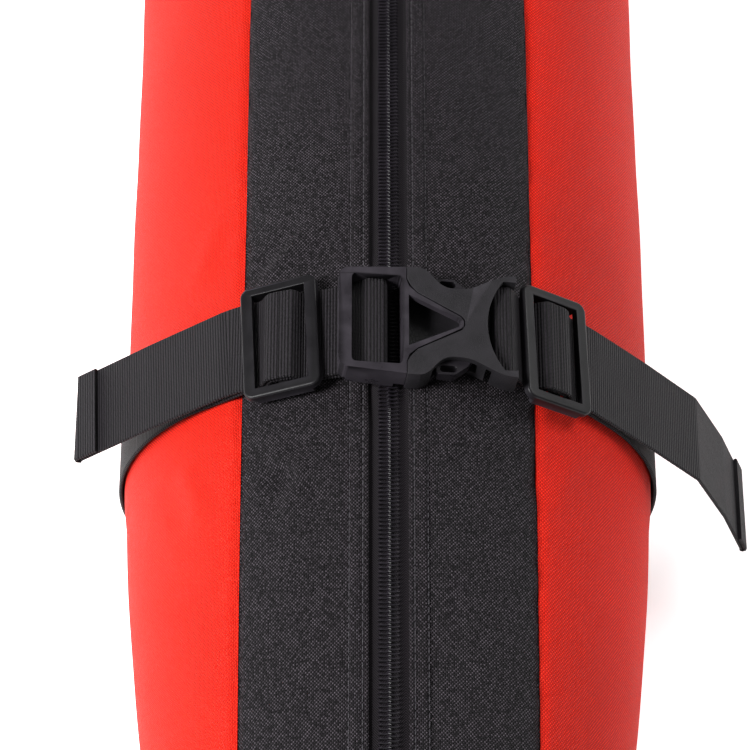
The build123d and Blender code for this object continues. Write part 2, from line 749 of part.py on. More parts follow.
def make_female(label, seat):
    """Female half: a waisted housing with a V notch, side windows, and a webbing bar."""
    bar_radius = (BUCKLE_BAR_HIGH - BUCKLE_BAR_LOW) / 2
    bar_middle = (FEMALE_BAR[0] + FEMALE_BAR[1]) / 2
    shoulder = (FEMALE_SHOULDER, FEMALE_HALF)
    waist = [shoulder, *FEMALE_WAIST, *FEMALE_FLARE, (FEMALE_END, FEMALE_END_HALF)]
    slot_length = FEMALE_END - SLOT_START
    with BuildPart() as female:
        with BuildSketch(seat):
            with BuildLine():
                Line((FEMALE_START, FEMALE_HALF), waist[0])
                Spline(*waist)
                Line(waist[-1], (FEMALE_END, -FEMALE_END_HALF))
                Spline(*[(u, -v) for u, v in reversed(waist)])
                Line((FEMALE_SHOULDER, -FEMALE_HALF), (FEMALE_START, -FEMALE_HALF))
                Line((FEMALE_START, -FEMALE_HALF), (FEMALE_START, FEMALE_HALF))
            make_face()
        extrude(amount=BUCKLE_HEIGHT)
        with BuildSketch(seat.offset(FEMALE_FLOOR)):
            with Locations(((FEMALE_START - CAVITY_BACK + CAVITY_END) / 2, 0)):
                Rectangle(CAVITY_END - FEMALE_START + CAVITY_BACK, 2 * CAVITY_HALF)
        extrude(amount=FEMALE_ROOF - FEMALE_FLOOR, mode=Mode.SUBTRACT)
        with BuildSketch(seat.offset(FEMALE_ROOF)):
            with BuildLine():
                Polyline(
                    (0.0, NOTCH_MOUTH),
                    NOTCH_SHOULDER,
                    *triangle_points(NOTCH_GAP),
                    (NOTCH_SHOULDER[0], -NOTCH_SHOULDER[1]),
                    (0.0, -NOTCH_MOUTH),
                    close=True,
                )
            make_face()
            fillet(vertices().sort_by(Axis.X)[-2:], TRIANGLE_ROUND + NOTCH_GAP)
        extrude(amount=BUCKLE_HEIGHT - FEMALE_ROOF, mode=Mode.SUBTRACT)
        with BuildSketch(seat):
            with Locations((SLOT_START + slot_length, 0)):
                Rectangle(2 * slot_length, 2 * SLOT_HALF)
        extrude(amount=SLOT_ROOF, mode=Mode.SUBTRACT)
        with BuildSketch(seat.offset(SLOT_ROOF)):
            with BuildLine():
                ThreePointArc((ARC_END, SLOT_HALF), (ARC_MIDDLE, 0), (ARC_END, -SLOT_HALF))
                Polyline(
                    (ARC_END, -SLOT_HALF),
                    (2 * FEMALE_END, -SLOT_HALF),
                    (2 * FEMALE_END, SLOT_HALF),
                    (ARC_END, SLOT_HALF),
                )
            make_face()
        extrude(amount=BUCKLE_HEIGHT - SLOT_ROOF, mode=Mode.SUBTRACT)
        bar_end = seat.origin - seat.y_dir * (SLOT_HALF + BAR_ROOTS / 2)
        with BuildSketch(Plane(bar_end, seat.x_dir, -seat.y_dir)):
            with Locations((bar_middle, (BUCKLE_BAR_LOW + BUCKLE_BAR_HIGH) / 2)):
                SlotOverall(FEMALE_BAR[1] - FEMALE_BAR[0], 2 * bar_radius)
        extrude(amount=-2 * SLOT_HALF - BAR_ROOTS)
    female.part.label = label
    export_step(female.part, f"parts/{label}.step")


# ---------------------------------------------------------------- webbing halves


def hump(seat, side, lift):
    """Line over a glide's centre bar, from its outer side inwards, lift above the first layer."""
    spread_out = HUMP_SPREAD * lift
    heights = (FIRST_LAYER + lift, GLIDE_CENTRE_TOP + BAR_GAP + WEB_THICKNESS / 2 + lift)
    outer = GLIDE_LENGTH / 2
    marks = [
        (outer, heights[0]),
        (HUMP_FOOT + spread_out, heights[0]),
        (HUMP_TOP + spread_out, heights[1]),
        (-HUMP_TOP - spread_out, heights[1]),
        (-HUMP_FOOT - spread_out, heights[0]),
        (-outer, heights[0]),
    ]
    return [on_seat(seat, side * along, up) for along, up in marks]


def wrap_line(side, last_turn):
    """First layer of webbing from the lower seam up round the bag's side."""
    turns = [WRAP_TOE + i * WRAP_STEP for i in range(WRAP_POINTS)]
    turns = [t for t in turns if t < last_turn] + [last_turn]
    points = [rim(0, t, -FIRST_LAYER) for t in turns]
    return [(side * x, z) for x, z in points]


def make_webbing(label, y, side, around_bar, tail):
    """One strap half: up from the seam, through the glide, round its buckle bar and back."""
    seat = glide_seat("left" if side < 0 else "right", y, turned=False)
    first = hump(seat, side, 0.0)
    second = hump(seat, side, LAYER_PITCH)
    rise = wrap_line(side, WRAP_TOP[side])
    route = first + around_bar + list(reversed(second)) + tail
    hem = [Vector(*tail[-2]), Vector(*tail[-1])]
    hem_way = (hem[1] - hem[0]).normalized()
    hem_side = Vector(-hem_way.Y, hem_way.X) * (WEB_THICKNESS * side)
    hem_end = hem[1] - hem_way * TAIL_HEM
    start = Vector(*first[0])
    lead = start - (Vector(*first[1]) - start).normalized() * WEB_LEAD
    with BuildPart() as webbing:
        with BuildSketch(Plane.XZ.offset(-y)):
            with BuildLine() as lower:
                Spline(*rise, lead, start)
            trace(lower.line, WEB_THICKNESS)
            with BuildLine() as upper:
                FilletPolyline(*route, radius=WEB_BEND)
            trace(upper.line, WEB_THICKNESS)
            with BuildLine() as fold:
                Line(hem[1] + hem_side, hem_end + hem_side)
            trace(fold.line, WEB_THICKNESS)
        extrude(amount=WEB_WIDTH / 2, both=True)
    webbing.part.label = label
    export_step(webbing.part, f"parts/{label}.step")


def bar_loop(seat, bar, side, outside):
    """Webbing round a buckle bar, in from the glide underneath it and back over the top."""
    low = BUCKLE_BAR_LOW - BAR_GAP - WEB_THICKNESS / 2
    high = BUCKLE_BAR_HIGH + BAR_GAP + WEB_THICKNESS / 2
    near = bar[0] if side < 0 else bar[1]
    far = bar[1] + LOOP_SLACK if side < 0 else bar[0] - LOOP_SLACK
    marks = [
        (near + side * outside[0], outside[1]),
        (near + side * LOOP_NEAR, low),
        (far, low),
        (far, high),
        (near + side * LOOP_NEAR, high),
        (near + side * outside[2], outside[3]),
    ]
    return [on_seat(seat, along, up) for along, up in marks]


# ---------------------------------------------------------------- the two compression straps

for name, y in (("foot", -STRAP_Y), ("head", STRAP_Y)):
    seat = buckle_seat(y)
    make_male(f"{name}_buckle_male", seat)
    make_prong(f"{name}_prong_inner", seat, -1)
    make_prong(f"{name}_prong_outer", seat, 1)
    make_female(f"{name}_buckle_female", seat)
    for side_name in GLIDE_SEATS:
        make_glide(f"{name}_glide_{side_name}", glide_seat(side_name, y))
    left_loop = bar_loop(seat, MALE_BAR, -1, LEFT_APPROACH)
    right_loop = bar_loop(seat, FEMALE_BAR, 1, RIGHT_APPROACH)
    make_webbing(f"{name}_webbing_left", y, -1, left_loop, LEFT_TAIL)
    make_webbing(f"{name}_webbing_right", y, 1, right_loop, RIGHT_TAIL)
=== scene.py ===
# %% [markdown]
# # A padded ski bag
#
# The bag is a long tube of sewn panels: black ones along the crown, each side of a zip, red ones
# down both sides, and a black one underneath. Two webbing straps cross it. This script dresses
# the fixed CAD frame: it measures the frame, builds each sewn piece as a surface worked out with
# numpy, and gives every piece a finish made of nodes.

import json
import math

import bmesh
import bpy
import numpy as np
from mathutils import Matrix, Vector


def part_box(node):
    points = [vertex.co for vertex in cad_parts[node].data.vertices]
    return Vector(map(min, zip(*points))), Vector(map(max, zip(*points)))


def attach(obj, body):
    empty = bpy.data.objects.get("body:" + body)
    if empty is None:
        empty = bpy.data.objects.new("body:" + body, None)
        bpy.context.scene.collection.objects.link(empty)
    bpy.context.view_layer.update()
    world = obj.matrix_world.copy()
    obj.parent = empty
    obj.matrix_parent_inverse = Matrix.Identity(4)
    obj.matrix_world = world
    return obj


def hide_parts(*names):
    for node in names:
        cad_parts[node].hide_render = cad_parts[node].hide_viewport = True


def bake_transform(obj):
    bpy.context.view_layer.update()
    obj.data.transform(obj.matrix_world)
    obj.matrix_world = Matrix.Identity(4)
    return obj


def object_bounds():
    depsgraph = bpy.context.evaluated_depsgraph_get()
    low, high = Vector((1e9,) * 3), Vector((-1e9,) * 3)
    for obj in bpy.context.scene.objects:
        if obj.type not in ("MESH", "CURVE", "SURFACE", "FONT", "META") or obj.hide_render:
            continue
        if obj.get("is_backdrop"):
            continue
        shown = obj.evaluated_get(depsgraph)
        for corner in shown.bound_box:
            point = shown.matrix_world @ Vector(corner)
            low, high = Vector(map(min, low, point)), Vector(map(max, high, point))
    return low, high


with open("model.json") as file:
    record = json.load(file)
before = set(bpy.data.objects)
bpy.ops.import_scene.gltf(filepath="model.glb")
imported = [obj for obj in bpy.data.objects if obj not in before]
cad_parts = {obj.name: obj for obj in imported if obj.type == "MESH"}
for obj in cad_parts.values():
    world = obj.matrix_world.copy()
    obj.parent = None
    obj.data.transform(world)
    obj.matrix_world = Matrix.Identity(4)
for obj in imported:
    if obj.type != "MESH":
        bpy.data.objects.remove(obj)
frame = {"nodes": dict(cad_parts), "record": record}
cad_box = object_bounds()
print("CAD box in metres:", [[round(c, 3) for c in corner] for corner in cad_box])

# %% [markdown]
# ## Driving sizes
#
# Everything is worked out in millimetres and turned to metres once, when a mesh is made. The
# bag's width, its length and the place of its straps are read from the frame. The section is a
# pair of half ellipses above and below the waist, with a flat base, and it narrows past the
# straps, just as the CAD pieces do, so the new panels lie where the CAD ones are.

# %% Driving sizes
MM = 0.001


def reach(node, axis):
    """Lowest and highest place of a CAD node along one axis, in millimetres."""
    low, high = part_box(node)
    return low[axis] / MM, high[axis] / MM


HALF_WIDTH = reach("side_panel_right", 0)[1]
HALF_LENGTH = reach("end_cap_head", 1)[1]
STRAP_Y = sum(reach("head_buckle_female", 1)) / 2
HEIGHT = 168.0
WAIST = 70.0
FLAT_HALF = 52.0
TAPER_START = 530.0
TAPER_LENGTH = 455.0
TAPER_DROP = 0.5
PANEL_END = HALF_LENGTH - 5.0
WALL = 5.0
SEAM_X = 56.0
SEAM_SHARE = 0.66
LOWER_SEAM = -60.0
print(f"half width {HALF_WIDTH:.1f}, half length {HALF_LENGTH:.1f}, straps at {STRAP_Y:.1f} mm")

# %% The bag's section
def shrink(y):
    """Size of the section at y: 1 in the middle, then down a slope shaped like half a cosine wave."""
    beyond = np.maximum(np.abs(y) - TAPER_START, 0.0) / TAPER_LENGTH
    return 1.0 - TAPER_DROP * (1.0 - np.cos(np.pi * beyond)) / 2


def section(y, turn, lift=0.0):
    """Point (x, z) of the right half: cosine of the turn across, sine of the turn up from the waist."""
    size = shrink(y)
    angle = np.radians(turn)
    upper = turn >= 0
    middle = np.where(upper, 0.0, FLAT_HALF) * size
    across = HALF_WIDTH * size - middle + lift
    up = np.where(upper, HEIGHT - WAIST, WAIST) * size + lift
    return middle + across * np.cos(angle), WAIST * size + up * np.sin(angle)


def turn_at(y, x):
    """Turn of the upper section's point that lies x from the middle."""
    return np.degrees(np.arccos(x / (HALF_WIDTH * shrink(y))))


def seam_turn(y):
    """Turn of the seam between a crown panel and a side panel."""
    return turn_at(y, np.minimum(SEAM_X, SEAM_SHARE * HALF_WIDTH * shrink(y)))


def crown(x):
    """Height of the full section's upper surface at x."""
    return WAIST + (HEIGHT - WAIST) * math.sqrt(1.0 - (x / HALF_WIDTH) ** 2)


# %% [markdown]
# ## Camera
#
# The bag is looked at through a long lens from a little over a metre away, from
# the foot end and steeply downwards. A long lens keeps the buckle's edges almost parallel.
# The view leaves most of the bag out, so the aim is the strap at the foot end.

# %% Camera
VIEW_TILT = math.radians(30.0)
VIEW_DISTANCE = 1.18
LENS = 150.0
AIM_DROP = 0.0151
AIM_SIDE = -0.0051

strap_crown = Vector((0.0, -STRAP_Y * MM, HEIGHT * MM))
look = Vector((0.0, math.sin(VIEW_TILT), -math.cos(VIEW_TILT)))
camera_up = Vector((0.0, math.cos(VIEW_TILT), math.sin(VIEW_TILT)))
camera_right = look.cross(camera_up)
camera_place = strap_crown - VIEW_DISTANCE * look - AIM_DROP * camera_up + AIM_SIDE * camera_right
camera_data = bpy.data.cameras.new("camera")
camera_data.lens = LENS
camera_data.clip_start = 0.01
camera_data.clip_end = 50.0
camera = bpy.data.objects.new("camera", camera_data)
turn = Matrix((camera_right, camera_up, -look)).transposed()
camera.matrix_world = Matrix.Translation(camera_place) @ turn.to_4x4()
bpy.context.scene.collection.objects.link(camera)
bpy.context.scene.camera = camera
print("camera at", [round(c, 3) for c in camera_place])

# %% [markdown]
# ## From arrays to a mesh
#
# Most pieces here are sleeves: a closed outline carried along a line, with flat ends. Two helpers
# do that. One joins the rings of an array into faces with a cloth map in millimetres, and the
# other makes the mesh. The cloth map lets a weave follow the piece, as real cloth is cut.

# %% Mesh helpers
SHARP = math.radians(38.0)


def sleeve(rings, across, along):
    """Faces and corner map of rings joined in order: ring i's points j and j+1 to ring i+1's."""
    rows, columns = rings.shape[:2]
    i, j = np.meshgrid(np.arange(rows - 1), np.arange(columns), indexing="ij")
    k = (j + 1) % columns
    corners = [i * columns + j, i * columns + k, (i + 1) * columns + k, (i + 1) * columns + j]
    quads = np.stack(corners, axis=-1).reshape(-1, 4)
    spots = [(i, j), (i, j + 1), (i + 1, j + 1), (i + 1, j)]
    cloth = np.stack([np.stack([across[a, b], along[a, b]], axis=-1) for a, b in spots], axis=-2)
    ends = [list(range(columns)), list(range((rows - 1) * columns, rows * columns))]
    end_maps = [np.stack([across[row, :-1], along[row, :-1]], axis=-1) for row in (0, -1)]
    return quads.tolist() + ends, np.concatenate([cloth.reshape(-1, 2), *end_maps])


def around(rings):
    """Distance round each ring from its first point, with the whole way round as the last value."""
    closed = np.concatenate([rings, rings[:, :1]], axis=1)
    steps = np.linalg.norm(np.diff(closed, axis=1), axis=-1)
    return np.concatenate([np.zeros((len(rings), 1)), np.cumsum(steps, axis=1)], axis=1)


def make_piece(name, points, faces, cloth, material):
    """Mesh object of points in millimetres, faces pointing outwards and sharp edges kept sharp."""
    mesh = bpy.data.meshes.new(name)
    mesh.from_pydata((points.reshape(-1, 3) * MM).tolist(), [], faces)
    mesh.uv_layers.new(name="cloth").data.foreach_set("uv", (cloth * MM).ravel())
    shell = bmesh.new()
    shell.from_mesh(mesh)
    bmesh.ops.recalc_face_normals(shell, faces=shell.faces)
    shell.to_mesh(mesh)
    shell.free()
    mesh.shade_smooth()
    mesh.set_sharp_from_angle(angle=SHARP)
    mesh.materials.append(material)
    piece = bpy.data.objects.new(name, mesh)
    bpy.context.scene.collection.objects.link(piece)
    print(f"{name}: {len(mesh.vertices)} points, {len(mesh.polygons)} faces")
    return piece


def join_sleeves(parts):
    """Several (rings, across, along) as one set of points, faces and map, numbered on in turn."""
    points, faces, maps = [], [], []
    for rings, across, along in parts:
        first = sum(len(p) for p in points)
        part_faces, part_map = sleeve(rings, across, along)
        points.append(rings.reshape(-1, 3))
        faces += [[first + n for n in face] for face in part_faces]
        maps.append(part_map)
    return np.concatenate(points), faces, np.concatenate(maps)


def copies(unit, across, along, places, axes):
    """One small sleeve set down at many places, each turned by its own three axes."""
    unit_faces, unit_map = sleeve(unit, across, along)
    flat = unit.reshape(-1, 3)
    points = places[:, None, :] + np.einsum("pk,nkc->npc", flat, axes)
    counts = len(flat) * np.arange(len(places))
    faces = [[first + n for n in face] for first in counts.tolist() for face in unit_faces]
    return points.reshape(-1, 3), faces, np.tile(unit_map, (len(places), 1))


# %% [markdown]
# ## Finishes
#
# Each finish starts from what the real thing is. Colours are written as sRGB hex, as a paint
# chart gives them, and one function turns them to the linear values that Blender works in. One
# more function adds a node with its settings and its inputs, so a finish reads as a list.

# %% Finish helpers
def srgb(code):
    """Hex colour to linear: c / 12.92 when dark, else ((c + 0.055) / 1.055) to the power 2.4."""
    c = np.array([int(code[i : i + 2], 16) for i in (1, 3, 5)]) / 255
    linear = np.where(c <= 0.04045, c / 12.92, ((c + 0.055) / 1.055) ** 2.4)
    return (*linear.tolist(), 1.0)


def add(tree, kind, inputs=(), out=0, **settings):
    """Adds a node with its settings, wires or sets its inputs, and returns one of its outputs."""
    node = tree.nodes.new(kind)
    for name, value in settings.items():
        setattr(node, name, value)
    for name, value in dict(inputs).items():
        if isinstance(value, bpy.types.NodeSocket):
            tree.links.new(value, node.inputs[name])
        else:
            node.inputs[name].default_value = value
    return node.outputs[out]


def finish(name, **constants):
    """New material whose shader has these constant settings; returns it, its tree and its shader."""
    material = bpy.data.materials.new(name)
    material.use_nodes = True
    shader = material.node_tree.nodes["Principled BSDF"]
    for socket, value in constants.items():
        shader.inputs[socket.replace("_", " ")].default_value = value
    return material, material.node_tree, shader


def dress(tree, shader, height, depth, **channels):
    """Wires the surface's relief, depth in metres, and any changing channels to the shader."""
    bump = add(tree, "ShaderNodeBump", {"Height": height, "Distance": depth, "Strength": 1.0})
    tree.links.new(bump, shader.inputs["Normal"])
    for socket, value in channels.items():
        tree.links.new(value, shader.inputs[socket.replace("_", " ")])


# %% [markdown]
# ### Oxford polyester
#
# The panels are 600-denier polyester in a plain weave, about 20 threads to the centimetre. Each
# thread goes over one and under the next, so the cloth is a chequerboard of small pillows: where
# the sine of one direction times the sine of the other is positive, the lengthwise thread is on
# top. The colour there is painted light: lighter on the lengthwise threads' tops, and darker, as
# painted shade, on the crosswise threads and between them. Every thread also takes dye a little
# differently, and that shows as lighter specks only on the lit tops, so the specks are partly
# painted highlight. A thin sheen stands for the fibre ends.

# %% Oxford cloth
THREAD = 0.00068


def oxford_cloth(name, ground, lit_crest, fleck, rough, sheen):
    """Plain weave: pillow height from two sines, with a lighter colour painted as light on the lengthwise
    threads' tops and a darker one painted as shade elsewhere.
    """
    cloth, tree, shader = finish(name, Sheen_Weight=sheen, Sheen_Roughness=0.35, Specular_IOR_Level=0.12)
    spot = add(tree, "ShaderNodeUVMap", uv_map="cloth")
    threads = add(tree, "ShaderNodeVectorMath", {0: spot, "Scale": 1 / THREAD}, operation="SCALE")
    wobble = add(tree, "ShaderNodeTexNoise", {"Vector": threads, "Scale": 0.11, "Detail": 2.0}, out=1)
    sway = (0.8, 0.8, 0.0)
    drift = add(tree, "ShaderNodeVectorMath", {0: wobble, 1: sway, 2: threads}, operation="MULTIPLY_ADD")
    split = tree.nodes.new("ShaderNodeSeparateXYZ")
    tree.links.new(drift, split.inputs[0])
    waves = []
    for axis in ("X", "Y"):
        angle = add(tree, "ShaderNodeMath", {0: split.outputs[axis], 1: math.pi}, operation="MULTIPLY")
        waves.append(add(tree, "ShaderNodeMath", {0: angle}, operation="SINE"))
    weave = add(tree, "ShaderNodeMath", {0: waves[0], 1: waves[1]}, operation="MULTIPLY")
    pillow = add(tree, "ShaderNodeMath", {0: weave}, operation="ABSOLUTE")
    rise = add(tree, "ShaderNodeMath", {0: weave, 1: 0.45, 2: 0.5}, operation="MULTIPLY_ADD")
    height = add(tree, "ShaderNodeMath", {0: pillow, 1: rise}, operation="ADD")
    cell = add(tree, "ShaderNodeVectorMath", {0: drift}, operation="FLOOR")
    dye = add(tree, "ShaderNodeTexWhiteNoise", {"Vector": cell}, out=0, noise_dimensions="2D")
    # Painted light and shade: the colour runs from the dark one on the crosswise threads and hollows to the
    # light one on the lengthwise threads' tops.
    lit = add(
        tree,
        "ShaderNodeMapRange",
        {"Value": weave, "From Min": -0.2, "From Max": 0.75, "To Min": 0.0, "To Max": 1.0},
    )
    lit_thread = add(tree, "ShaderNodeMath", {0: lit, 1: dye}, operation="MULTIPLY")
    tone = add(tree, "ShaderNodeMix", {0: lit, 6: srgb(ground), 7: srgb(lit_crest)}, out=2, data_type="RGBA")
    # Painted highlight: lighter specks, random from thread to thread, that show only where a thread's top is
    # lit.
    weave_light_and_flecks = add(
        tree, "ShaderNodeMix", {0: lit_thread, 6: tone, 7: srgb(fleck)}, out=2, data_type="RGBA"
    )
    place = add(tree, "ShaderNodeTexCoord", out="Object")
    cloud = add(tree, "ShaderNodeTexNoise", {"Vector": place, "Scale": 9.0, "Detail": 3.0})
    shade = add(
        tree,
        "ShaderNodeMapRange",
        {"Value": cloud, "From Min": 0.3, "From Max": 0.7, "To Min": 0.90, "To Max": 1.06},
    )
    colour = add(tree, "ShaderNodeVectorMath", {0: weave_light_and_flecks, "Scale": shade}, operation="SCALE")
    roughness = add(
        tree, "ShaderNodeMapRange", {"Value": dye, "To Min": rough - 0.06, "To Max": rough + 0.08}
    )
    dress(tree, shader, height, 0.00034, Base_Color=colour, Roughness=roughness)
    return cloth


# Colours in order: painted shade, painted light on the thread tops, and the lighter specks that show only on
# the lit tops.
BLACK_CLOTH = oxford_cloth("oxford_polyester_black", "#010101", "#1c181c", "#5a535a", 0.58, 0.0)
RED_CLOTH = oxford_cloth("oxford_polyester_red", "#b01206", "#f0240f", "#ff3a24", 0.62, 0.0)
print("panel cloths:", BLACK_CLOTH.name, RED_CLOTH.name)

# %% [markdown]
# ### Webbing, zip tape and thread
#
# Strap webbing is woven with a thick weft, which makes ribs across the strap about 1.2 mm apart.
# The fine warp that covers each rib shows as small grains. Zip tape is a herringbone twill: its
# diagonal turns back every few threads. Both read the cloth map, whose second direction runs
# along the piece. Thread is plain bonded polyester with its twist as a fine slanted ridge. In all
# three the colour is painted light on the raised parts and painted shade in the hollows.

# %% Woven strips
RIB = 0.00122
GRAIN = 0.0006
TWILL = 0.0009
CHEVRON = 0.0028


def ribbed_webbing(name, shaded_groove, lit_crest, rib, grain):
    """Ribs: the size of a sine along the strap; grains: a sine across it, shifted rib by rib."""
    webbing, tree, shader = finish(name, Sheen_Weight=0.02, Sheen_Roughness=0.35, Specular_IOR_Level=0.16)
    spot = add(tree, "ShaderNodeUVMap", uv_map="cloth")
    split = tree.nodes.new("ShaderNodeSeparateXYZ")
    tree.links.new(spot, split.inputs[0])
    row = add(tree, "ShaderNodeMath", {0: split.outputs["Y"], 1: 1 / rib}, operation="MULTIPLY")
    row_turn = add(tree, "ShaderNodeMath", {0: row, 1: math.pi}, operation="MULTIPLY")
    row_wave = add(tree, "ShaderNodeMath", {0: row_turn}, operation="SINE")
    ribs = add(tree, "ShaderNodeMath", {0: row_wave}, operation="ABSOLUTE")
    number = add(tree, "ShaderNodeMath", {0: row}, operation="FLOOR")
    step = add(tree, "ShaderNodeMath", {0: number, 1: 0.5}, operation="MULTIPLY")
    grains = add(
        tree, "ShaderNodeMath", {0: split.outputs["X"], 1: 1 / grain, 2: step}, operation="MULTIPLY_ADD"
    )
    grain_turn = add(tree, "ShaderNodeMath", {0: grains, 1: 2 * math.pi}, operation="MULTIPLY")
    grain_wave = add(tree, "ShaderNodeMath", {0: grain_turn}, operation="SINE")
    height = add(tree, "ShaderNodeMath", {0: grain_wave, 1: 0.22, 2: ribs}, operation="MULTIPLY_ADD")
    fuzz = add(tree, "ShaderNodeTexNoise", {"Vector": spot, "Scale": 900.0, "Detail": 2.0})
    # Painted light: the colour is lighter on the tops of the ribs and grains and darker in the hollows,
    # broken up by the fuzz noise.
    light = add(tree, "ShaderNodeMath", {0: height, 1: fuzz}, operation="MULTIPLY")
    share = add(tree, "ShaderNodeMapRange", {"Value": light, "From Min": 0.1, "From Max": 0.62})
    colour = add(tree, "ShaderNodeMix", {0: share, 6: srgb(shaded_groove), 7: srgb(lit_crest)}, out=2, data_type="RGBA")
    roughness = add(tree, "ShaderNodeMapRange", {"Value": fuzz, "To Min": 0.45, "To Max": 0.75})
    dress(tree, shader, height, 0.0003, Base_Color=colour, Roughness=roughness)
    return webbing


def herringbone_tape(name, shaded_groove, lit_crest):
    """Twill: a sine of the distance along, plus the distance across folded back by each chevron."""
    tape, tree, shader = finish(name, Sheen_Weight=0.02, Sheen_Roughness=0.35, Specular_IOR_Level=0.14)
    spot = add(tree, "ShaderNodeUVMap", uv_map="cloth")
    split = tree.nodes.new("ShaderNodeSeparateXYZ")
    tree.links.new(spot, split.inputs[0])
    fold = add(tree, "ShaderNodeMath", {0: split.outputs["X"], 1: CHEVRON}, operation="PINGPONG")
    slant = add(tree, "ShaderNodeMath", {0: split.outputs["Y"], 1: fold}, operation="ADD")
    turns = add(tree, "ShaderNodeMath", {0: slant, 1: 2 * math.pi / TWILL}, operation="MULTIPLY")
    ridge = add(tree, "ShaderNodeMath", {0: turns}, operation="SINE")
    # Painted light: the colour is lighter along the twill's ridges and darker between them.
    share = add(tree, "ShaderNodeMapRange", {"Value": ridge, "From Min": -0.6, "From Max": 1.0})
    colour = add(tree, "ShaderNodeMix", {0: share, 6: srgb(shaded_groove), 7: srgb(lit_crest)}, out=2, data_type="RGBA")
    roughness = add(tree, "ShaderNodeMapRange", {"Value": share, "To Min": 0.75, "To Max": 0.55})
    dress(tree, shader, ridge, 0.00012, Base_Color=colour, Roughness=roughness)
    return tape


def twisted_thread(name, shaded_groove, lit_crest):
    """Two-ply thread: a slanted sine of the distance along and round it."""
    thread, tree, shader = finish(name, Sheen_Weight=0.1, Specular_IOR_Level=0.5)
    spot = add(tree, "ShaderNodeUVMap", uv_map="cloth")
    split = tree.nodes.new("ShaderNodeSeparateXYZ")
    tree.links.new(spot, split.inputs[0])
    slant = add(tree, "ShaderNodeMath", {0: split.outputs["X"], 1: split.outputs["Y"]}, operation="ADD")
    turns = add(tree, "ShaderNodeMath", {0: slant, 1: 9000.0}, operation="MULTIPLY")
    ply = add(tree, "ShaderNodeMath", {0: turns}, operation="SINE")
    # Painted light: the colour is lighter on each ply's ridge and darker in the twist between.
    share = add(tree, "ShaderNodeMapRange", {"Value": ply, "From Min": -1.0, "From Max": 1.0})
    colour = add(tree, "ShaderNodeMix", {0: share, 6: srgb(shaded_groove), 7: srgb(lit_crest)}, out=2, data_type="RGBA")
    roughness = add(tree, "ShaderNodeMapRange", {"Value": share, "To Min": 0.6, "To Max": 0.42})
    dress(tree, shader, ply, 0.00006, Base_Color=colour, Roughness=roughness)
    return thread


# Each pair of colours: painted shade in the hollows, then painted light on the raised parts.
WEBBING = ribbed_webbing("ribbed_polyester_webbing", "#010101", "#231f24", RIB, GRAIN)
ZIP_TAPE = herringbone_tape("herringbone_zip_tape", "#030203", "#262126")
THREAD_BLACK = twisted_thread("bonded_thread_black", "#141216", "#373239")
print("strips:", WEBBING.name, ZIP_TAPE.name, THREAD_BLACK.name)

# %% [markdown]
# ### Moulded plastic and die-cast metal
#
# Buckles are moulded in acetal. The half that is gripped has a spark-eroded face, a fine even
# grain left by the mould, and the other half and the strap glides are nearly polished, with only
# flow marks and handling scuffs in the gloss. The zip's coil is drawn nylon thread, glossy as a
# fishing line. Its slider is die-cast zinc under black enamel, worn grey where it rubs.

# %% Hard finishes
def moulded_plastic(name, base, worn, grain_scale, grain_depth, rough, rough_spread):
    """Black moulding: noise of one grain size for relief, broad noise for scuffs in the gloss."""
    plastic, tree, shader = finish(name, IOR=1.48, Specular_IOR_Level=0.2)
    place = add(tree, "ShaderNodeTexCoord", out="Object")
    grain = add(tree, "ShaderNodeTexNoise", {"Vector": place, "Scale": grain_scale, "Detail": 3.0})
    flow = add(tree, "ShaderNodeTexNoise", {"Vector": place, "Scale": 120.0, "Detail": 4.0})
    edges = add(tree, "ShaderNodeNewGeometry", out="Pointiness")
    rub = add(tree, "ShaderNodeMapRange", {"Value": edges, "From Min": 0.51, "From Max": 0.60})
    speck = add(tree, "ShaderNodeMath", {0: rub, 1: flow}, operation="MULTIPLY")
    colour = add(tree, "ShaderNodeMix", {0: speck, 6: srgb(base), 7: srgb(worn)}, out=2, data_type="RGBA")
    roughness = add(
        tree,
        "ShaderNodeMapRange",
        {"Value": flow, "From Min": 0.3, "From Max": 0.7, "To Min": rough, "To Max": rough + rough_spread},
    )
    dress(tree, shader, grain, grain_depth, Base_Color=colour, Roughness=roughness)
    return plastic


def enamelled_zinc(name, enamel, bare):
    """Black enamel over zinc: the metal shows at the edges, where the surface is most pointed."""
    metal, tree, shader = finish(name)
    place = add(tree, "ShaderNodeTexCoord", out="Object")
    flow = add(tree, "ShaderNodeTexNoise", {"Vector": place, "Scale": 900.0, "Detail": 3.0})
    edges = add(tree, "ShaderNodeNewGeometry", out="Pointiness")
    rub = add(tree, "ShaderNodeMapRange", {"Value": edges, "From Min": 0.52, "From Max": 0.62})
    bare_share = add(tree, "ShaderNodeMath", {0: rub, 1: flow}, operation="MULTIPLY", use_clamp=True)
    colour = add(
        tree, "ShaderNodeMix", {0: bare_share, 6: srgb(enamel), 7: srgb(bare)}, out=2, data_type="RGBA"
    )
    roughness = add(tree, "ShaderNodeMapRange", {"Value": flow, "To Min": 0.22, "To Max": 0.45})
    dress(tree, shader, flow, 0.00003, Base_Color=colour, Roughness=roughness, Metallic=bare_share)
    return metal


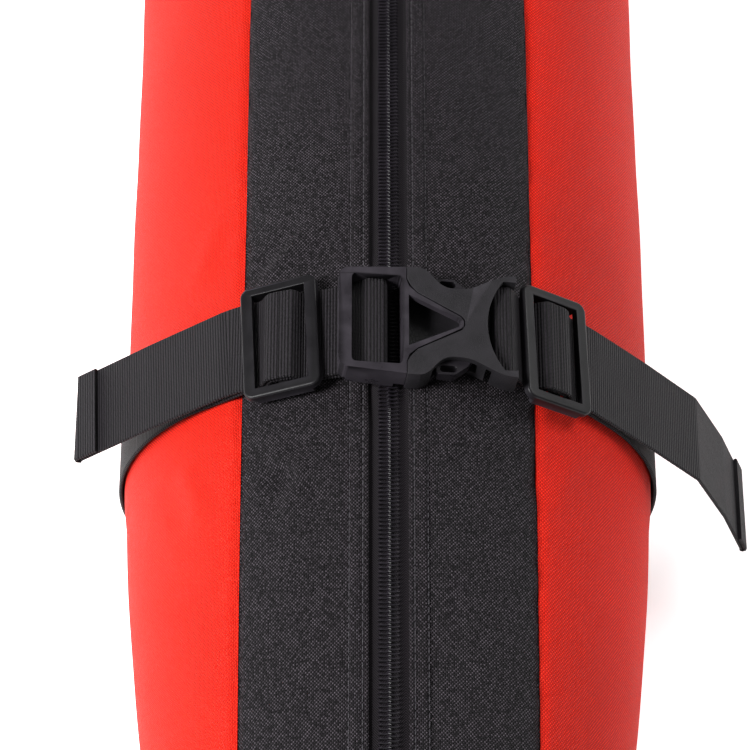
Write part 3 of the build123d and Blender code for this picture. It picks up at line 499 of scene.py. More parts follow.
GRAINED = moulded_plastic("spark_grained_acetal", "#0f0e10", "#3a373c", 3200.0, 0.00014, 0.46, 0.14)
POLISHED = moulded_plastic("polished_acetal", "#0b0a0c", "#3a363c", 1500.0, 0.00001, 0.24, 0.16)
GLIDE_PLASTIC = moulded_plastic("satin_acetal", "#0e0d0f", "#4a464e", 2200.0, 0.00003, 0.34, 0.14)
NYLON_COIL = moulded_plastic("drawn_nylon_coil", "#050506", "#2a262c", 2600.0, 0.00001, 0.12, 0.10)
ZINC = enamelled_zinc("enamelled_zinc", "#151416", "#9a9a98")
print("hard finishes:", GRAINED.name, POLISHED.name, GLIDE_PLASTIC.name, NYLON_COIL.name, ZINC.name)

# %% [markdown]
# ## Softness
#
# Sewn and padded cloth is never exactly its pattern. The panels bulge and sag gently, crease
# where a strap pulls on them, and dip at every seam, where the sewing thread gathers the cloth
# into small puckers. These are heights added to the smooth section. Under a strap and its
# hardware the cloth is pressed flat.

# %% Softness of the cloth
CREASES = [(-42, 36, -20, 62, 2.4, 0.9), (-30, 52, -52, 24, 3.0, 0.8), (-48, -40, -16, -66, 3.2, 1.0),
           (-26, -38, -40, -74, 3.6, 0.8), (34, 34, 22, 70, 3.0, 0.6), (40, -36, 28, -70, 3.4, 0.7),
           (72, -34, 60, -64, 4.0, 0.7), (-76, 34, -66, 70, 4.0, 0.6), (-80, -34, -68, -66, 4.0, 0.7)]

CREASE_DEPTH = 1.7


def crease(x, y, line):
    """Ridge: a bell across the line, faded to nothing at both of the line's ends."""
    x0, y0, x1, y1, width, high = line
    run = np.array([x1 - x0, y1 - y0], float)
    length = math.hypot(*run)
    run /= length
    share = ((x - x0) * run[0] + (y - y0) * run[1]) / length
    off = (x - x0) * run[1] - (y - y0) * run[0]
    bell = np.exp(-((off / width) ** 2)) - 0.6 * np.exp(-(((off - 2.1 * width) / width) ** 2))
    return high * bell * np.exp(-(((share - 0.5) / 0.36) ** 4))


def strap_press(y):
    """0 under a strap, 1 clear of it, with a smooth step 24 to 36 mm from its middle."""
    share = np.clip((np.abs(np.abs(y) - STRAP_Y) - 24.0) / 12.0, 0.0, 1.0)
    return share * share * (3 - 2 * share)


def softness(x, y, turn):
    """Broad bulges as sines of long waves, plus the strap's creases at both straps."""
    broad = 0.55 * np.sin(y / 61.0 + 0.4 + turn / 31.0) + 0.4 * np.sin(y / 37.0 + 1.9 - turn / 23.0)
    fine = 0.16 * np.sin(y / 13.0 + turn / 7.0) * np.sin(y / 29.0 + 0.8)
    creased = sum(crease(x, y + STRAP_Y, c) + crease(-x, y - STRAP_Y, c) for c in CREASES)
    return (broad + fine + CREASE_DEPTH * creased) * strap_press(y)


def seam_dip(distance, y, deep, phase):
    """Valley beside a seam, a bell of the distance from it, with puckers as two waves along it."""
    pucker = 0.30 * np.sin(y / 2.3 + phase) + 0.22 * np.sin(y / 3.9 + 2 * phase)
    return -deep * np.exp(-((distance / 1.8) ** 2)) + pucker * np.exp(-distance / 5.0) * (distance > 0.4)


print("creases at each strap:", len(CREASES))

# %% [markdown]
# ## Panels
#
# A panel is a strip of cloth with foam behind it, so each one is a closed padded shell: an outer
# skin with the relief above and a plain lining 5 mm further in. The grid's rows run along the bag
# and its columns round it, closer together at the edges, where the sewing is. The crown panels'
# free edges are folded under and topstitched twice beside the zip, which leaves two fine valleys
# and a raised fold between them. A cloth simulation would lose those, so the shape is computed.

# %% Panel builder
ROW_STEP = 3.0
rows = np.linspace(-PANEL_END, PANEL_END, int(2 * PANEL_END / ROW_STEP) + 1)
TOPSTITCH = (2.2, 7.3)
FOLD_END = 9.0
BARE_HEM = 12.0


def stops(length, edge_reach, edge_step, step):
    """Distances across a strip: fine steps at both edges and coarser ones between."""
    near = np.arange(0.0, edge_reach, edge_step)
    middle = np.linspace(edge_reach, length - edge_reach, max(int((length - 2 * edge_reach) / step), 2))
    return np.concatenate([near, middle, length - near[::-1]])


def zip_fold(distance, y, proud):
    """Folded hem: proud to the second stitch line, rounded at its edge, with a valley at each line."""
    fade = np.clip((FOLD_END - distance) / 2.4, 0.0, 1.0)
    edge = -0.9 * np.exp(-distance / 0.5)
    dimple = 0.75 + 0.25 * np.cos(2 * np.pi * y / 3.0)
    valleys = sum(-0.62 * np.exp(-(((distance - line) / 0.55) ** 2)) for line in TOPSTITCH)
    swell = 0.25 * np.exp(-(((distance - sum(TOPSTITCH) / 2) / 1.6) ** 2))
    return proud * fade * fade * (3 - 2 * fade) + edge + valleys * dimple + swell


def panel_rings(side, upper, lower, across, relief, lining):
    """Rings of a padded strip: skin at the section plus relief, lining at the section less its depth."""
    y = rows[:, None]
    share = (across / across[-1])[None, :]
    top, low = upper(rows)[:, None], lower(rows)[:, None]
    turn = top + (low - top) * share
    x0, z0 = section(y, turn)
    width = np.sum(np.hypot(np.diff(x0, axis=1), np.diff(z0, axis=1)), axis=1, keepdims=True)
    distance = share * width
    lift = relief(side * x0, y, turn, distance, width)
    x, z = section(y, turn, lift)
    skin = np.stack([side * x, np.broadcast_to(y, x.shape), z], axis=-1)
    back = slice(None, None, -3)
    depth = lining(distance[:, back])
    xb, zb = section(y, turn[:, back], -depth)
    inner = np.stack([side * xb, np.broadcast_to(y, xb.shape), zb], axis=-1)
    return np.concatenate([skin, inner], axis=1)


def make_panel(name, rings, material, nodes):
    """The panel's mesh with its cloth map, tied to the bag, in place of its CAD strip and padding."""
    across = around(rings)
    along = np.broadcast_to(rows[:, None], across.shape)
    faces, cloth = sleeve(rings, across, along)
    panel = make_piece(name, rings, faces, cloth, material)
    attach(panel, "bag")
    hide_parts(*nodes)
    return panel


# %% Crown panels
ZIP_EDGE = 7.3
CROWN_WIDTH = 52.7
FOLD_PROUD = {"left": 1.15, "right": 0.75}
crown_stops = np.concatenate([np.arange(0.0, 10.0, 0.42), stops(CROWN_WIDTH - 10.0, 5.0, 0.7, 2.0) + 10.0])


def crown_relief(proud):
    """Relief of a crown panel: its softness, the fold beside the zip, and the dip at the side seam."""

    def relief(x, y, turn, distance, width):
        ease = 1.0 - np.exp(-distance / 14.0)
        press = 0.35 + 0.65 * strap_press(y)
        return (
            softness(x, y, turn) * ease
            + zip_fold(distance, y, proud * press)
            + seam_dip(width - distance, y, 1.1, 0.0)
        )

    return relief


for name, side in (("left", -1), ("right", 1)):
    rings = panel_rings(
        side,
        lambda y: turn_at(y, ZIP_EDGE),
        seam_turn,
        crown_stops,
        crown_relief(FOLD_PROUD[name]),
        lambda distance: 1.1 + (WALL - 1.1) * np.clip((distance - BARE_HEM) / 3.0, 0.0, 1.0),
    )
    make_panel(
        f"crown_panel_{name}", rings, BLACK_CLOTH,
        [f"front_panel_{name}", f"front_padding_{name}"],
    )

# %% Side panels
SIDE_WIDTH = 205.0
side_stops = stops(SIDE_WIDTH, 5.0, 0.8, 3.4)


def side_relief(x, y, turn, distance, width):
    """Relief of a side panel: softness away from its seams, and a dip with puckers at both."""
    ease = (1.0 - np.exp(-distance / 9.0)) * (1.0 - np.exp(-(width - distance) / 12.0))
    low = np.where(turn > -30.0, 1.0, 0.25)
    dips = seam_dip(distance, y, 0.9, 0.7) + seam_dip(width - distance, y, 1.1, 1.4)
    return softness(x, y, turn) * ease * low + dips


for name, side in (("left", -1), ("right", 1)):
    rings = panel_rings(
        side,
        seam_turn,
        lambda y: np.full_like(y, LOWER_SEAM),
        side_stops,
        side_relief,
        lambda d: WALL + 0 * d,
    )
    make_panel(
        f"side_panel_{name}_cloth", rings, RED_CLOTH,
        [f"side_panel_{name}", f"side_padding_{name}"],
    )

# %% [markdown]
# ## Back panel
#
# The back panel lies on the floor and turns up a little to the lower seams. It is one strip right
# across, so its grid runs from the left seam down, over the flat base and up to the right seam.

# %% Back panel
base_turns = np.linspace(LOWER_SEAM, -90.0, 13)
base_y = rows[:, None]


def base_line(lift):
    """Points from the left lower seam, across the flat base, to the right lower seam."""
    x, z = section(base_y, base_turns[None, :], lift)
    flat = np.linspace(-1.0, 1.0, 33)[None, 1:-1] * x[:, -1:]
    level = np.broadcast_to(z[:, -1:], flat.shape)
    xs = np.concatenate([-x, flat, x[:, ::-1]], axis=1)
    zs = np.concatenate([z, level, z[:, ::-1]], axis=1)
    return np.stack([xs, np.broadcast_to(base_y, xs.shape), zs], axis=-1)


outer_base = base_line(0.0)
edge_gap = np.minimum(np.arange(outer_base.shape[1]), np.arange(outer_base.shape[1])[::-1])[None, :]
hollow = 0.5 + 0.5 * np.sin(base_y / 47.0 + outer_base[..., 0] / 19.0)
away = np.clip(edge_gap / 8.0, 0.0, 1.0)
outer_base[..., 2] += 0.7 * hollow * away + 0.5 * (edge_gap < 1)
base_rings = np.concatenate([outer_base, base_line(-WALL)[:, ::-1]], axis=1)
make_panel("back_panel_cloth", base_rings, BLACK_CLOTH, ["back_panel", "back_padding"])

# %% [markdown]
# ## Stitches
#
# A lockstitch shows on top as a row of short threads that dive into the cloth at each hole. One
# stitch is a small bent capsule, and a row is that capsule set down again and again along a line,
# with its own length, side and upward directions at each place.

# %% Stitch rows
STITCH_PITCH = 3.0
STITCH_LENGTH = 2.5
THREAD_RADIUS = 0.27


def stitch_unit(length, radius):
    """A bent capsule along the first axis: four five-sided rings on an arch that dips at both ends."""
    along = np.array([-0.5, -0.3, 0.3, 0.5]) * length
    lift = np.array([-0.55, 0.35, 0.35, -0.55]) * radius * 1.6
    girth = np.array([0.5, 1.0, 1.0, 0.5]) * radius
    angle = np.arange(5) * 2 * np.pi / 5
    ring_side = girth[:, None] * np.cos(angle)[None, :]
    ring_up = lift[:, None] + girth[:, None] * np.sin(angle)[None, :]
    unit = np.stack([np.broadcast_to(along[:, None], ring_side.shape), ring_side, ring_up], axis=-1)
    return unit, around(unit), np.broadcast_to(along[:, None], (4, 6))


def stitch_row(line, up, pitch=STITCH_PITCH):
    """Stitches every pitch along a line of points: their places and their three axes."""
    gaps = np.linalg.norm(np.diff(line, axis=0), axis=1)
    length = np.concatenate([[0.0], np.cumsum(gaps)])
    spots = np.arange(pitch / 2, length[-1], pitch)
    place = np.stack([np.interp(spots, length, line[:, c]) for c in range(3)], axis=-1)
    way = np.stack([np.interp(spots, length, np.gradient(line[:, c], length)) for c in range(3)], axis=-1)
    way /= np.linalg.norm(way, axis=1, keepdims=True)
    rise = np.stack([np.interp(spots, length, up[:, c]) for c in range(3)], axis=-1)
    aside = np.cross(rise, way)
    aside /= np.linalg.norm(aside, axis=1, keepdims=True)
    return place, np.stack([way, aside, np.cross(way, aside)], axis=1)


def sew(name, lines, body, material=THREAD_BLACK, length=STITCH_LENGTH, pitch=STITCH_PITCH):
    """One piece of thread for several stitched lines, each given with its upward directions."""
    laid = [stitch_row(line, up, pitch) for line, up in lines]
    places = np.concatenate([p for p, _ in laid])
    axes = np.concatenate([a for _, a in laid])
    unit, across, along = stitch_unit(length, THREAD_RADIUS)
    thread = make_piece(name, *copies(unit, across, along, places, axes), material)
    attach(thread, body)
    return thread


def crown_line(side, distance, lift):
    """Line along a crown panel at a distance from its zip edge, and the directions off the bag."""
    turn = turn_at(rows, ZIP_EDGE) + (seam_turn(rows) - turn_at(rows, ZIP_EDGE)) * distance / CROWN_WIDTH
    x, z = section(rows, turn, lift)
    lean = np.radians(turn)
    up = np.stack([side * np.cos(lean), 0 * lean, np.sin(lean)], axis=-1)
    return np.stack([side * x, rows, z], axis=-1), up


for name, side in (("left", -1), ("right", 1)):
    press = FOLD_PROUD[name] * (0.35 + 0.65 * strap_press(rows))
    lines = [
        crown_line(side, TOPSTITCH[0], press - 0.42),
        crown_line(side, TOPSTITCH[1], 0.55 * press - 0.30),
    ]
    sew(f"zip_topstitching_{name}", lines, "bag")

# %% [markdown]
# ## Zip
#
# The chain is a nylon thread wound into a coil and sewn to each tape. From above, a coil shows as
# a row of rounded bars with their looped heads between those of the other side. One tooth is a
# short six-sided tube bent over like a staple, and each side repeats it about a thousand times.

# %% Zip tapes
TAPE_OUT = 18.0
TAPE_IN = 0.6
CHAIN_END = reach("zip_coil_left", 1)[1]

for name, side in (("left", -1), ("right", 1)):
    xs = np.linspace(TAPE_IN, TAPE_OUT, 22)
    turn = turn_at(rows[:, None], xs[None, :])
    sag = 0.25 * np.sin(rows / 23.0)[:, None] * np.clip((xs[None, :] - 4.0) / 3.0, 0.0, 1.0)
    x, z = section(rows[:, None], turn, -1.25 - 0.15 * np.abs(sag))
    xb, zb = section(rows[:, None], turn[:, ::-3], -1.95)
    y_skin = np.broadcast_to(rows[:, None], x.shape)
    y_back = np.broadcast_to(rows[:, None], xb.shape)
    rings = np.concatenate(
        [np.stack([side * x, y_skin, z], axis=-1), np.stack([side * xb, y_back, zb], axis=-1)], axis=1
    )
    across = around(rings)
    faces, cloth = sleeve(rings, across, np.broadcast_to(rows[:, None], across.shape))
    tape = make_piece(f"zip_tape_{name}_cloth", rings, faces, cloth, ZIP_TAPE)
    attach(tape, "bag")
    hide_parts(f"zip_tape_{name}")

# %% Coil teeth
TOOTH_PITCH = 1.62
TOOTH_RADIUS = 0.36
TOOTH_BEND = [
    (3.75, -0.95), (3.55, 0.1), (3.1, 0.42), (2.1, 0.12),
    (1.1, 0.14), (0.2, 0.46), (-0.45, 0.1), (-0.5, -0.7),
]


def tooth_unit():
    """A thread bent like a staple: rings at right angles to its line, a little flattened at the head."""
    line = np.array(TOOTH_BEND)
    way = np.gradient(line, axis=0)
    way /= np.linalg.norm(way, axis=1, keepdims=True)
    angle = np.arange(6) * np.pi / 3
    wide = TOOTH_RADIUS * np.array([1, 1, 1, 1, 1, 1.08, 1.05, 1])[:, None] * np.cos(angle)[None, :]
    off = TOOTH_RADIUS * np.sin(angle)[None, :]
    xs = line[:, :1] - way[:, 1:] * off
    zs = line[:, 1:] + way[:, :1] * off
    unit = np.stack([xs, wide, zs], axis=-1)
    length = np.concatenate([[0.0], np.cumsum(np.linalg.norm(np.diff(line, axis=0), axis=1))])
    return unit, around(unit), np.broadcast_to(length[:, None], (len(line), 7))


for name, side in (("left", -1), ("right", 1)):
    shift = 0.0 if side < 0 else TOOTH_PITCH / 2
    y = np.arange(-CHAIN_END + TOOTH_PITCH + shift, CHAIN_END - TOOTH_PITCH, TOOTH_PITCH)
    level = section(y, np.full_like(y, 90.0))[1]
    places = np.stack([0 * y, y, level + 0.1], axis=-1)
    axes = np.tile(np.diag([float(side), 1.0, 1.0]), (len(y), 1, 1))
    coil = make_piece(f"zip_coil_{name}_teeth", *copies(*tooth_unit(), places, axes), NYLON_COIL)
    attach(coil, "bag")
    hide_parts(f"zip_coil_{name}")

# %% [markdown]
# ## Straps
#
# Each strap half is one length of 38 mm webbing. It rises from the lower seam, passes through the
# glide over its centre bar, goes round its buckle bar, and comes back over the glide to end in a
# free tail with a folded, sewn hem. A strap is flat and springy, so it is modelled directly: its
# line is worked out in the section and a thin outline is carried along it.
#
# The glides slide on the webbing and the buckle opens, so each half is cut where it is hidden or
# flat, on top of the glide's bar.

# %% Seats of the hardware
BUCKLE_LEFT = -20.8
BUCKLE_RIGHT = 47.2
BUCKLE_JOIN = 4.2
BUCKLE_LIFT = 5.6
BAR_LOW = 3.2
BAR_HIGH = 6.7
MALE_BAR = (-12.9, -8.7)
FEMALE_BAR = (36.0, 39.8)
GLIDE_SEATS = {"left": (-38.9, 0.0, 0.0), "right": (59.6, -4.5, 1.3)}
GLIDE_HALF = 15.5
BAR_TOP = 4.6
WEB_HALF = 19.0
WEB_THICK = 1.5
FIRST_LAYER = 1.05
LAYER_PITCH = 1.8

lean = math.atan2(crown(BUCKLE_RIGHT) - crown(BUCKLE_LEFT), BUCKLE_RIGHT - BUCKLE_LEFT)
chord = crown(BUCKLE_LEFT) + (BUCKLE_JOIN - BUCKLE_LEFT) * math.tan(lean)
buckle_origin = (BUCKLE_JOIN - BUCKLE_LIFT * math.sin(lean), chord + BUCKLE_LIFT * math.cos(lean))
buckle_seat = (buckle_origin, lean)


def glide_seat(name):
    """Origin and lean under a glide: the bag's slope there plus the glide's own tilt."""
    x, tilt, lift = GLIDE_SEATS[name]
    slope = -(HEIGHT - WAIST) * x / HALF_WIDTH / math.sqrt(HALF_WIDTH**2 - x**2)
    tip = math.atan(slope) + math.radians(tilt)
    return (x - lift * math.sin(tip), crown(x) + lift * math.cos(tip)), tip


def on_seat(seat, marks):
    """Section points (x, z) of marks given along and up from a seat."""
    (x, z), tip = seat
    marks = np.array(marks, float)
    xs = x + marks[:, 0] * math.cos(tip) - marks[:, 1] * math.sin(tip)
    return np.stack([xs, z + marks[:, 0] * math.sin(tip) + marks[:, 1] * math.cos(tip)], axis=-1)


print(f"buckle leans {math.degrees(lean):.2f} degrees")

# %% Lines of the webbing
def rounded(points, radius):
    """Each corner becomes a parabola that starts and ends radius * tan(half the turn) from it."""
    p = np.array(points, float)
    back, forth = p[:-2] - p[1:-1], p[2:] - p[1:-1]
    runs = [np.linalg.norm(v, axis=1, keepdims=True) for v in (back, forth)]
    back, forth = back / runs[0], forth / runs[1]
    half_turn = (np.pi - np.arccos(np.clip(np.sum(back * forth, axis=1), -1, 1))) / 2
    reach_out = np.minimum(radius * np.tan(half_turn)[:, None], 0.48 * np.minimum(*runs))
    t = np.linspace(0.0, 1.0, 7)[None, :, None]
    corner = p[1:-1, None]
    start = (p[1:-1] + back * reach_out)[:, None]
    end = (p[1:-1] + forth * reach_out)[:, None]
    bend = (1 - t) ** 2 * start + 2 * t * (1 - t) * corner + t**2 * end
    return np.concatenate([p[:1], bend.reshape(-1, p.shape[1]), p[-1:]])


def evenly(line, step):
    """The line's points again at equal distances along it."""
    length = np.concatenate([[0.0], np.cumsum(np.linalg.norm(np.diff(line, axis=0), axis=1))])
    spots = np.linspace(0.0, length[-1], int(length[-1] / step) + 2)
    return np.stack([np.interp(spots, length, line[:, c]) for c in range(line.shape[1])], axis=-1)


def hump(side, lift):
    """Marks over a glide's centre bar from its outer side inwards, lift above the first layer."""
    lean_out = 0.46 * lift
    low = FIRST_LAYER + lift
    high = BAR_TOP + 0.3 + WEB_THICK / 2 + lift
    marks = [(GLIDE_HALF, low), (7.8 + lean_out, low), (4.0 + lean_out, high), (0.0, high),
             (-4.0 - lean_out, high), (-7.8 - lean_out, low), (-GLIDE_HALF, low)]
    return [(side * a, b) for a, b in marks]


def bar_loop(bar, side, outside):
    """Marks round a buckle bar: in underneath it and back over its top."""
    low = BAR_LOW - 0.3 - WEB_THICK / 2
    high = BAR_HIGH + 0.3 + WEB_THICK / 2
    near = bar[0] if side < 0 else bar[1]
    far = bar[1] + 1.9 if side < 0 else bar[0] - 1.9
    return [(near + side * outside[0], outside[1]), (near + side * 0.5, low), (far, low),
            (far, high), (near + side * 0.6, high), (near + side * outside[2], outside[3])]


def wrap_line(side, first_turn, last_turn):
    """Line of the first layer against the bag between two turns."""
    turns = np.linspace(first_turn, last_turn, 60)
    x, z = section(np.zeros_like(turns), turns, FIRST_LAYER)
    return np.stack([side * x, z], axis=-1)


# %% Strap outline carried along a line
WEB_STEP = 0.7
EDGE_ROUND = 0.5
EDGE_BAND = 2.0
web_across = np.concatenate([
    [-WEB_HALF, -WEB_HALF + EDGE_ROUND],
    np.linspace(-WEB_HALF + EDGE_BAND, WEB_HALF - EDGE_BAND, 9),
    [WEB_HALF - EDGE_ROUND, WEB_HALF],
])
web_up = np.full_like(web_across, WEB_THICK / 2)
web_up[[0, -1]] = WEB_THICK / 5


def ribbon(line, y_middle, start_length=0.0, drift=None, scale=1.0, cup=0.0):
    """Rings of a flat strap: its outline on the line's across and upward directions."""
    gaps = np.linalg.norm(np.diff(line, axis=0), axis=1)
    length = np.concatenate([[0.0], np.cumsum(gaps)])
    aside = np.zeros(len(line)) if drift is None else drift(line)
    spine = np.stack([line[:, 0], y_middle + aside, line[:, 1]], axis=-1)
    way = np.gradient(spine, length, axis=0)
    way /= np.linalg.norm(way, axis=1, keepdims=True)
    across = np.array([0.0, 1.0, 0.0]) - way * way[:, 1:2]
    across /= np.linalg.norm(across, axis=1, keepdims=True)
    up = np.cross(way, across)
    v = np.concatenate([web_across, web_across[::-1]]) * scale
    w = np.concatenate([web_up, -web_up[::-1]])
    bow = cup * (v / WEB_HALF) ** 2
    rings = spine[:, None] + across[:, None] * v[None, :, None] + up[:, None] * (w + bow)[None, :, None]
    girth = around(rings)
    along = np.broadcast_to((start_length + length)[:, None], girth.shape)
    return rings, girth, along


def make_strap(name, ribbons, material=WEBBING):
    """One piece from several ribbons of the same webbing."""
    piece = make_piece(name, *join_sleeves(ribbons), material)
    return piece


# %% [markdown]
# ### The tails
#
# The left tail is stiff and stands straight out over the bag's side, turned a few degrees towards
# the foot. The right one arches over and droops until it is seen almost edge-on. At the end of
# each the webbing is folded back 10 mm and sewn.

# %% Build both straps
HEM = 10.0
TAILS = {
    "left": [(-64.2, 152.8), (-92.0, 132.9), (-121.0, 111.0)],
    "right": [(80.5, 139.0), (102.0, 115.5), (123.0, 91.0), (136.5, 60.0), (146.0, 32.0)],
}
TAIL_YAW = {"left": math.radians(4.6), "right": math.radians(3.0)}
TAIL_START = {"left": -60.0, "right": 77.0}
LOOP_OUTSIDE = {"left": (8.8, -1.8, 7.7, 1.6), "right": (2.8, -0.2, 3.2, 3.6)}
WRAP_TOP = {"left": 47.0, "right": 42.0}
SHOULDER = {"left": 24.0, "right": 16.0}
TOE = -58.0


def hemmed(tail, side):
    """The tail's points, then back over its own end by the hem's length, one layer lower."""
    end, before = np.array(tail[-1]), np.array(tail[-2])
    way = (end - before) / np.linalg.norm(end - before)
    under = np.array([-way[1], way[0]]) * side * 1.55
    return tail + [tuple(end + under), tuple(end + under - way * HEM)]


def tail_drift(name, side, toward):
    """Sideways shift of a tail: grows with the distance beyond its start."""
    slant = toward * math.tan(TAIL_YAW[name])
    return lambda line: slant * np.maximum(side * (line[:, 0] - TAIL_START[name]), 0.0)


def strap_half(strap, name, y):
    """The wrap, the outer part with its tail, and the inner part round the buckle bar."""
    side = -1 if name == "left" else 1
    seat = glide_seat(name)
    bar = MALE_BAR if name == "left" else FEMALE_BAR
    first = on_seat(seat, hump(side, 0.0))
    second = on_seat(seat, hump(side, LAYER_PITCH))
    loop = on_seat(buckle_seat, bar_loop(bar, side, LOOP_OUTSIDE[name]))
    wrap = evenly(wrap_line(side, TOE, SHOULDER[name]), WEB_STEP)
    rise = wrap_line(side, SHOULDER[name], WRAP_TOP[name])
    outer = evenly(rounded(np.concatenate([rise[::6], first[:4]]), 3.0), WEB_STEP)
    inner = evenly(rounded(np.concatenate([first[3:], loop, second[:2:-1]]), 1.6), WEB_STEP)
    out_again = rounded(np.concatenate([second[3::-1], hemmed(TAILS[name], side)[:-2]]), 6.0)
    fold = rounded(np.array([out_again[-1], *hemmed(TAILS[name], side)[-2:]]), 0.8)
    tail = evenly(np.concatenate([out_again[:-1], fold]), WEB_STEP)
    toward = -1.0 if y < 0 else 1.0
    drift = tail_drift(name, side, toward)
    outer_piece = make_strap(f"{strap}_strap_{name}_tail", [ribbon(outer, y), ribbon(tail, y, 400.0, drift)])
    inner_piece = make_strap(f"{strap}_strap_{name}_loop", [ribbon(inner, y, 200.0)])
    wrap_piece = make_strap(f"{strap}_strap_{name}_wrap", [ribbon(wrap, y, 600.0)])
    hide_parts(f"{strap}_webbing_{name}")
    return wrap_piece, outer_piece, inner_piece, wrap, tail, drift


for strap, y in (("foot", -STRAP_Y), ("head", STRAP_Y)):
    for name, side in (("left", -1), ("right", 1)):
        wrap_piece, outer_piece, inner_piece, wrap, tail, drift = strap_half(strap, name, y)
        holder = f"{strap}_male_half" if name == "left" else "bag"
        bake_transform(outer_piece)
        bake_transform(inner_piece)
        if name == "left":
            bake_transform(wrap_piece)
        else:
            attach(wrap_piece, "bag")

# %% [markdown]
# ## Moulded and cast parts
#
# The buckle halves, prongs, glides, sliders, pulls and stops already have their true shape in the
# frame. A moulding has no knife edges, though: each real edge has a small radius that catches the
# light as a thin line. So each one is copied, its loose triangles are joined into clean faces, and
# a narrow bevel rounds its edges.

# %% Rounded copies of the hard parts
record = frame["record"]
bodies = record["behaviour"]["bodies"]
body_of = {node: body for body, nodes in bodies.items() for node in nodes}


def rounded_copy(node, radius, material):
    """The node's mesh with doubles merged and flat faces joined, then a bevel of that radius."""
    mesh = frame["nodes"][node].data.copy()
    mesh.materials.clear()
    shell = bmesh.new()
    shell.from_mesh(mesh)
    bmesh.ops.remove_doubles(shell, verts=shell.verts, dist=0.000002)
    bmesh.ops.dissolve_limit(shell, angle_limit=math.radians(1.5), verts=shell.verts, edges=shell.edges)
    shell.to_mesh(mesh)
    shell.free()
    mesh.shade_smooth()
    mesh.set_sharp_from_angle(angle=math.radians(32.0))
    mesh.materials.append(material)
    piece = bpy.data.objects.new(f"{node}_moulding", mesh)
    bpy.context.scene.collection.objects.link(piece)
    bevel = piece.modifiers.new("edge", "BEVEL")
    bevel.width = radius * MM
    bevel.segments = 2
    bevel.limit_method = "ANGLE"
    bevel.angle_limit = math.radians(32.0)
    bevel.harden_normals = True
    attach(piece, body_of[node])
    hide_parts(node)
    return piece


for strap in ("foot", "head"):
    rounded_copy(f"{strap}_buckle_female", 0.45, GRAINED)
    rounded_copy(f"{strap}_buckle_male", 0.45, POLISHED)
    for prong in ("inner", "outer"):
        rounded_copy(f"{strap}_prong_{prong}", 0.4, POLISHED)
    for name in ("left", "right"):
        rounded_copy(f"{strap}_glide_{name}", 0.5, GLIDE_PLASTIC)
    rounded_copy(f"zip_slider_{strap}", 0.3, ZINC)
    rounded_copy(f"zip_pull_{strap}", 0.3, ZINC)
    rounded_copy(f"zip_stop_{strap}", 0.3, ZINC)

# %% [markdown]
# ## Ends
#
# Each end of the tube is closed by an oval panel, set in with a piped seam: a cord covered in the
# same cloth. The cap is a grid of rings that shrink towards its middle and swell outwards. A loop
# of 25 mm webbing is sewn across it, to pull the skis' bag by.

# %% End caps and piping
CAP_RINGS = 22
CAP_POINTS = 128
PIPE_RADIUS = 2.0


def end_outline(y, lift):
    """Closed outline of the section: right side from the crown down, base, left side up."""
    turns = np.linspace(90.0, -90.0, 400)
    x, z = section(np.full_like(turns, y), turns, lift)
    loop = np.concatenate([np.stack([x, z], axis=-1), np.stack([-x[::-1], z[::-1]], axis=-1)])
    return evenly(np.concatenate([loop, loop[:1]]), 1.0)


def resampled(loop, count):
    """The closed loop again as count even points."""
    length = np.concatenate([[0.0], np.cumsum(np.linalg.norm(np.diff(loop, axis=0), axis=1))])
    spots = np.arange(count) * length[-1] / count
    return np.stack([np.interp(spots, length, loop[:, c]) for c in (0, 1)], axis=-1)


for name, end in (("foot", -1), ("head", 1)):
    loop = resampled(end_outline(PANEL_END, 0.0), CAP_POINTS)
    middle = np.array([0.0, WAIST * float(shrink(PANEL_END))])
    share = np.linspace(1.0, 0.02, CAP_RINGS)[:, None, None]
    flat = middle + (loop - middle)[None] * share
    swell = 4.2 * (1.0 - share[..., 0] ** 4) + 0.5 * np.sin(flat[..., 0] / 9.0) * (1 - share[..., 0])
    depth = np.broadcast_to(swell, flat.shape[:2])
    outer_y = end * (PANEL_END + 0.6 + depth)
    skin = np.stack([flat[..., 0], outer_y, flat[..., 1]], axis=-1)
    lining = skin[::-1][::3].copy()
    lining[..., 1] = end * (PANEL_END - 1.0)
    rings = np.concatenate([skin, lining], axis=0)[::-1]
    cap_u = np.concatenate([rings[..., 0], rings[:, :1, 0]], axis=1)
    cap_v = np.concatenate([rings[..., 2], rings[:, :1, 2]], axis=1)
    cap = make_piece(f"end_cap_{name}_cloth", rings, *sleeve(rings, cap_u, cap_v), BLACK_CLOTH)
    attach(cap, "bag")
    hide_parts(f"end_cap_{name}")
    rim_loop = resampled(end_outline(PANEL_END, 0.4), 2 * CAP_POINTS)
    rim_y = np.full(len(rim_loop), end * (PANEL_END + 1.0))
    centre = np.stack([rim_loop[:, 0], rim_y, rim_loop[:, 1]], axis=-1)
    way = np.roll(centre, -1, axis=0) - np.roll(centre, 1, axis=0)
    way /= np.linalg.norm(way, axis=1, keepdims=True)
    out = np.cross(way, np.array([0.0, 1.0, 0.0]))
    angle = np.arange(10) * 2 * np.pi / 10
    cord = centre[:, None] + PIPE_RADIUS * (
        np.cos(angle)[None, :, None] * out[:, None] + np.sin(angle)[None, :, None] * np.array([0.0, 1.0, 0.0])
    )
    cord[..., 2] = np.maximum(cord[..., 2], 0.05)
    cord = np.concatenate([cord, cord[:1]])
    cord_u = around(cord)
    gaps = np.linalg.norm(np.diff(np.concatenate([centre, centre[:1]]), axis=0), axis=1)
    steps = np.concatenate([[0.0], np.cumsum(gaps)])
    piping = make_piece(
        f"end_piping_{name}",
        cord,
        *sleeve(cord, cord_u, np.broadcast_to(steps[:, None], cord_u.shape)),
        BLACK_CLOTH,
    )
    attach(piping, "bag")

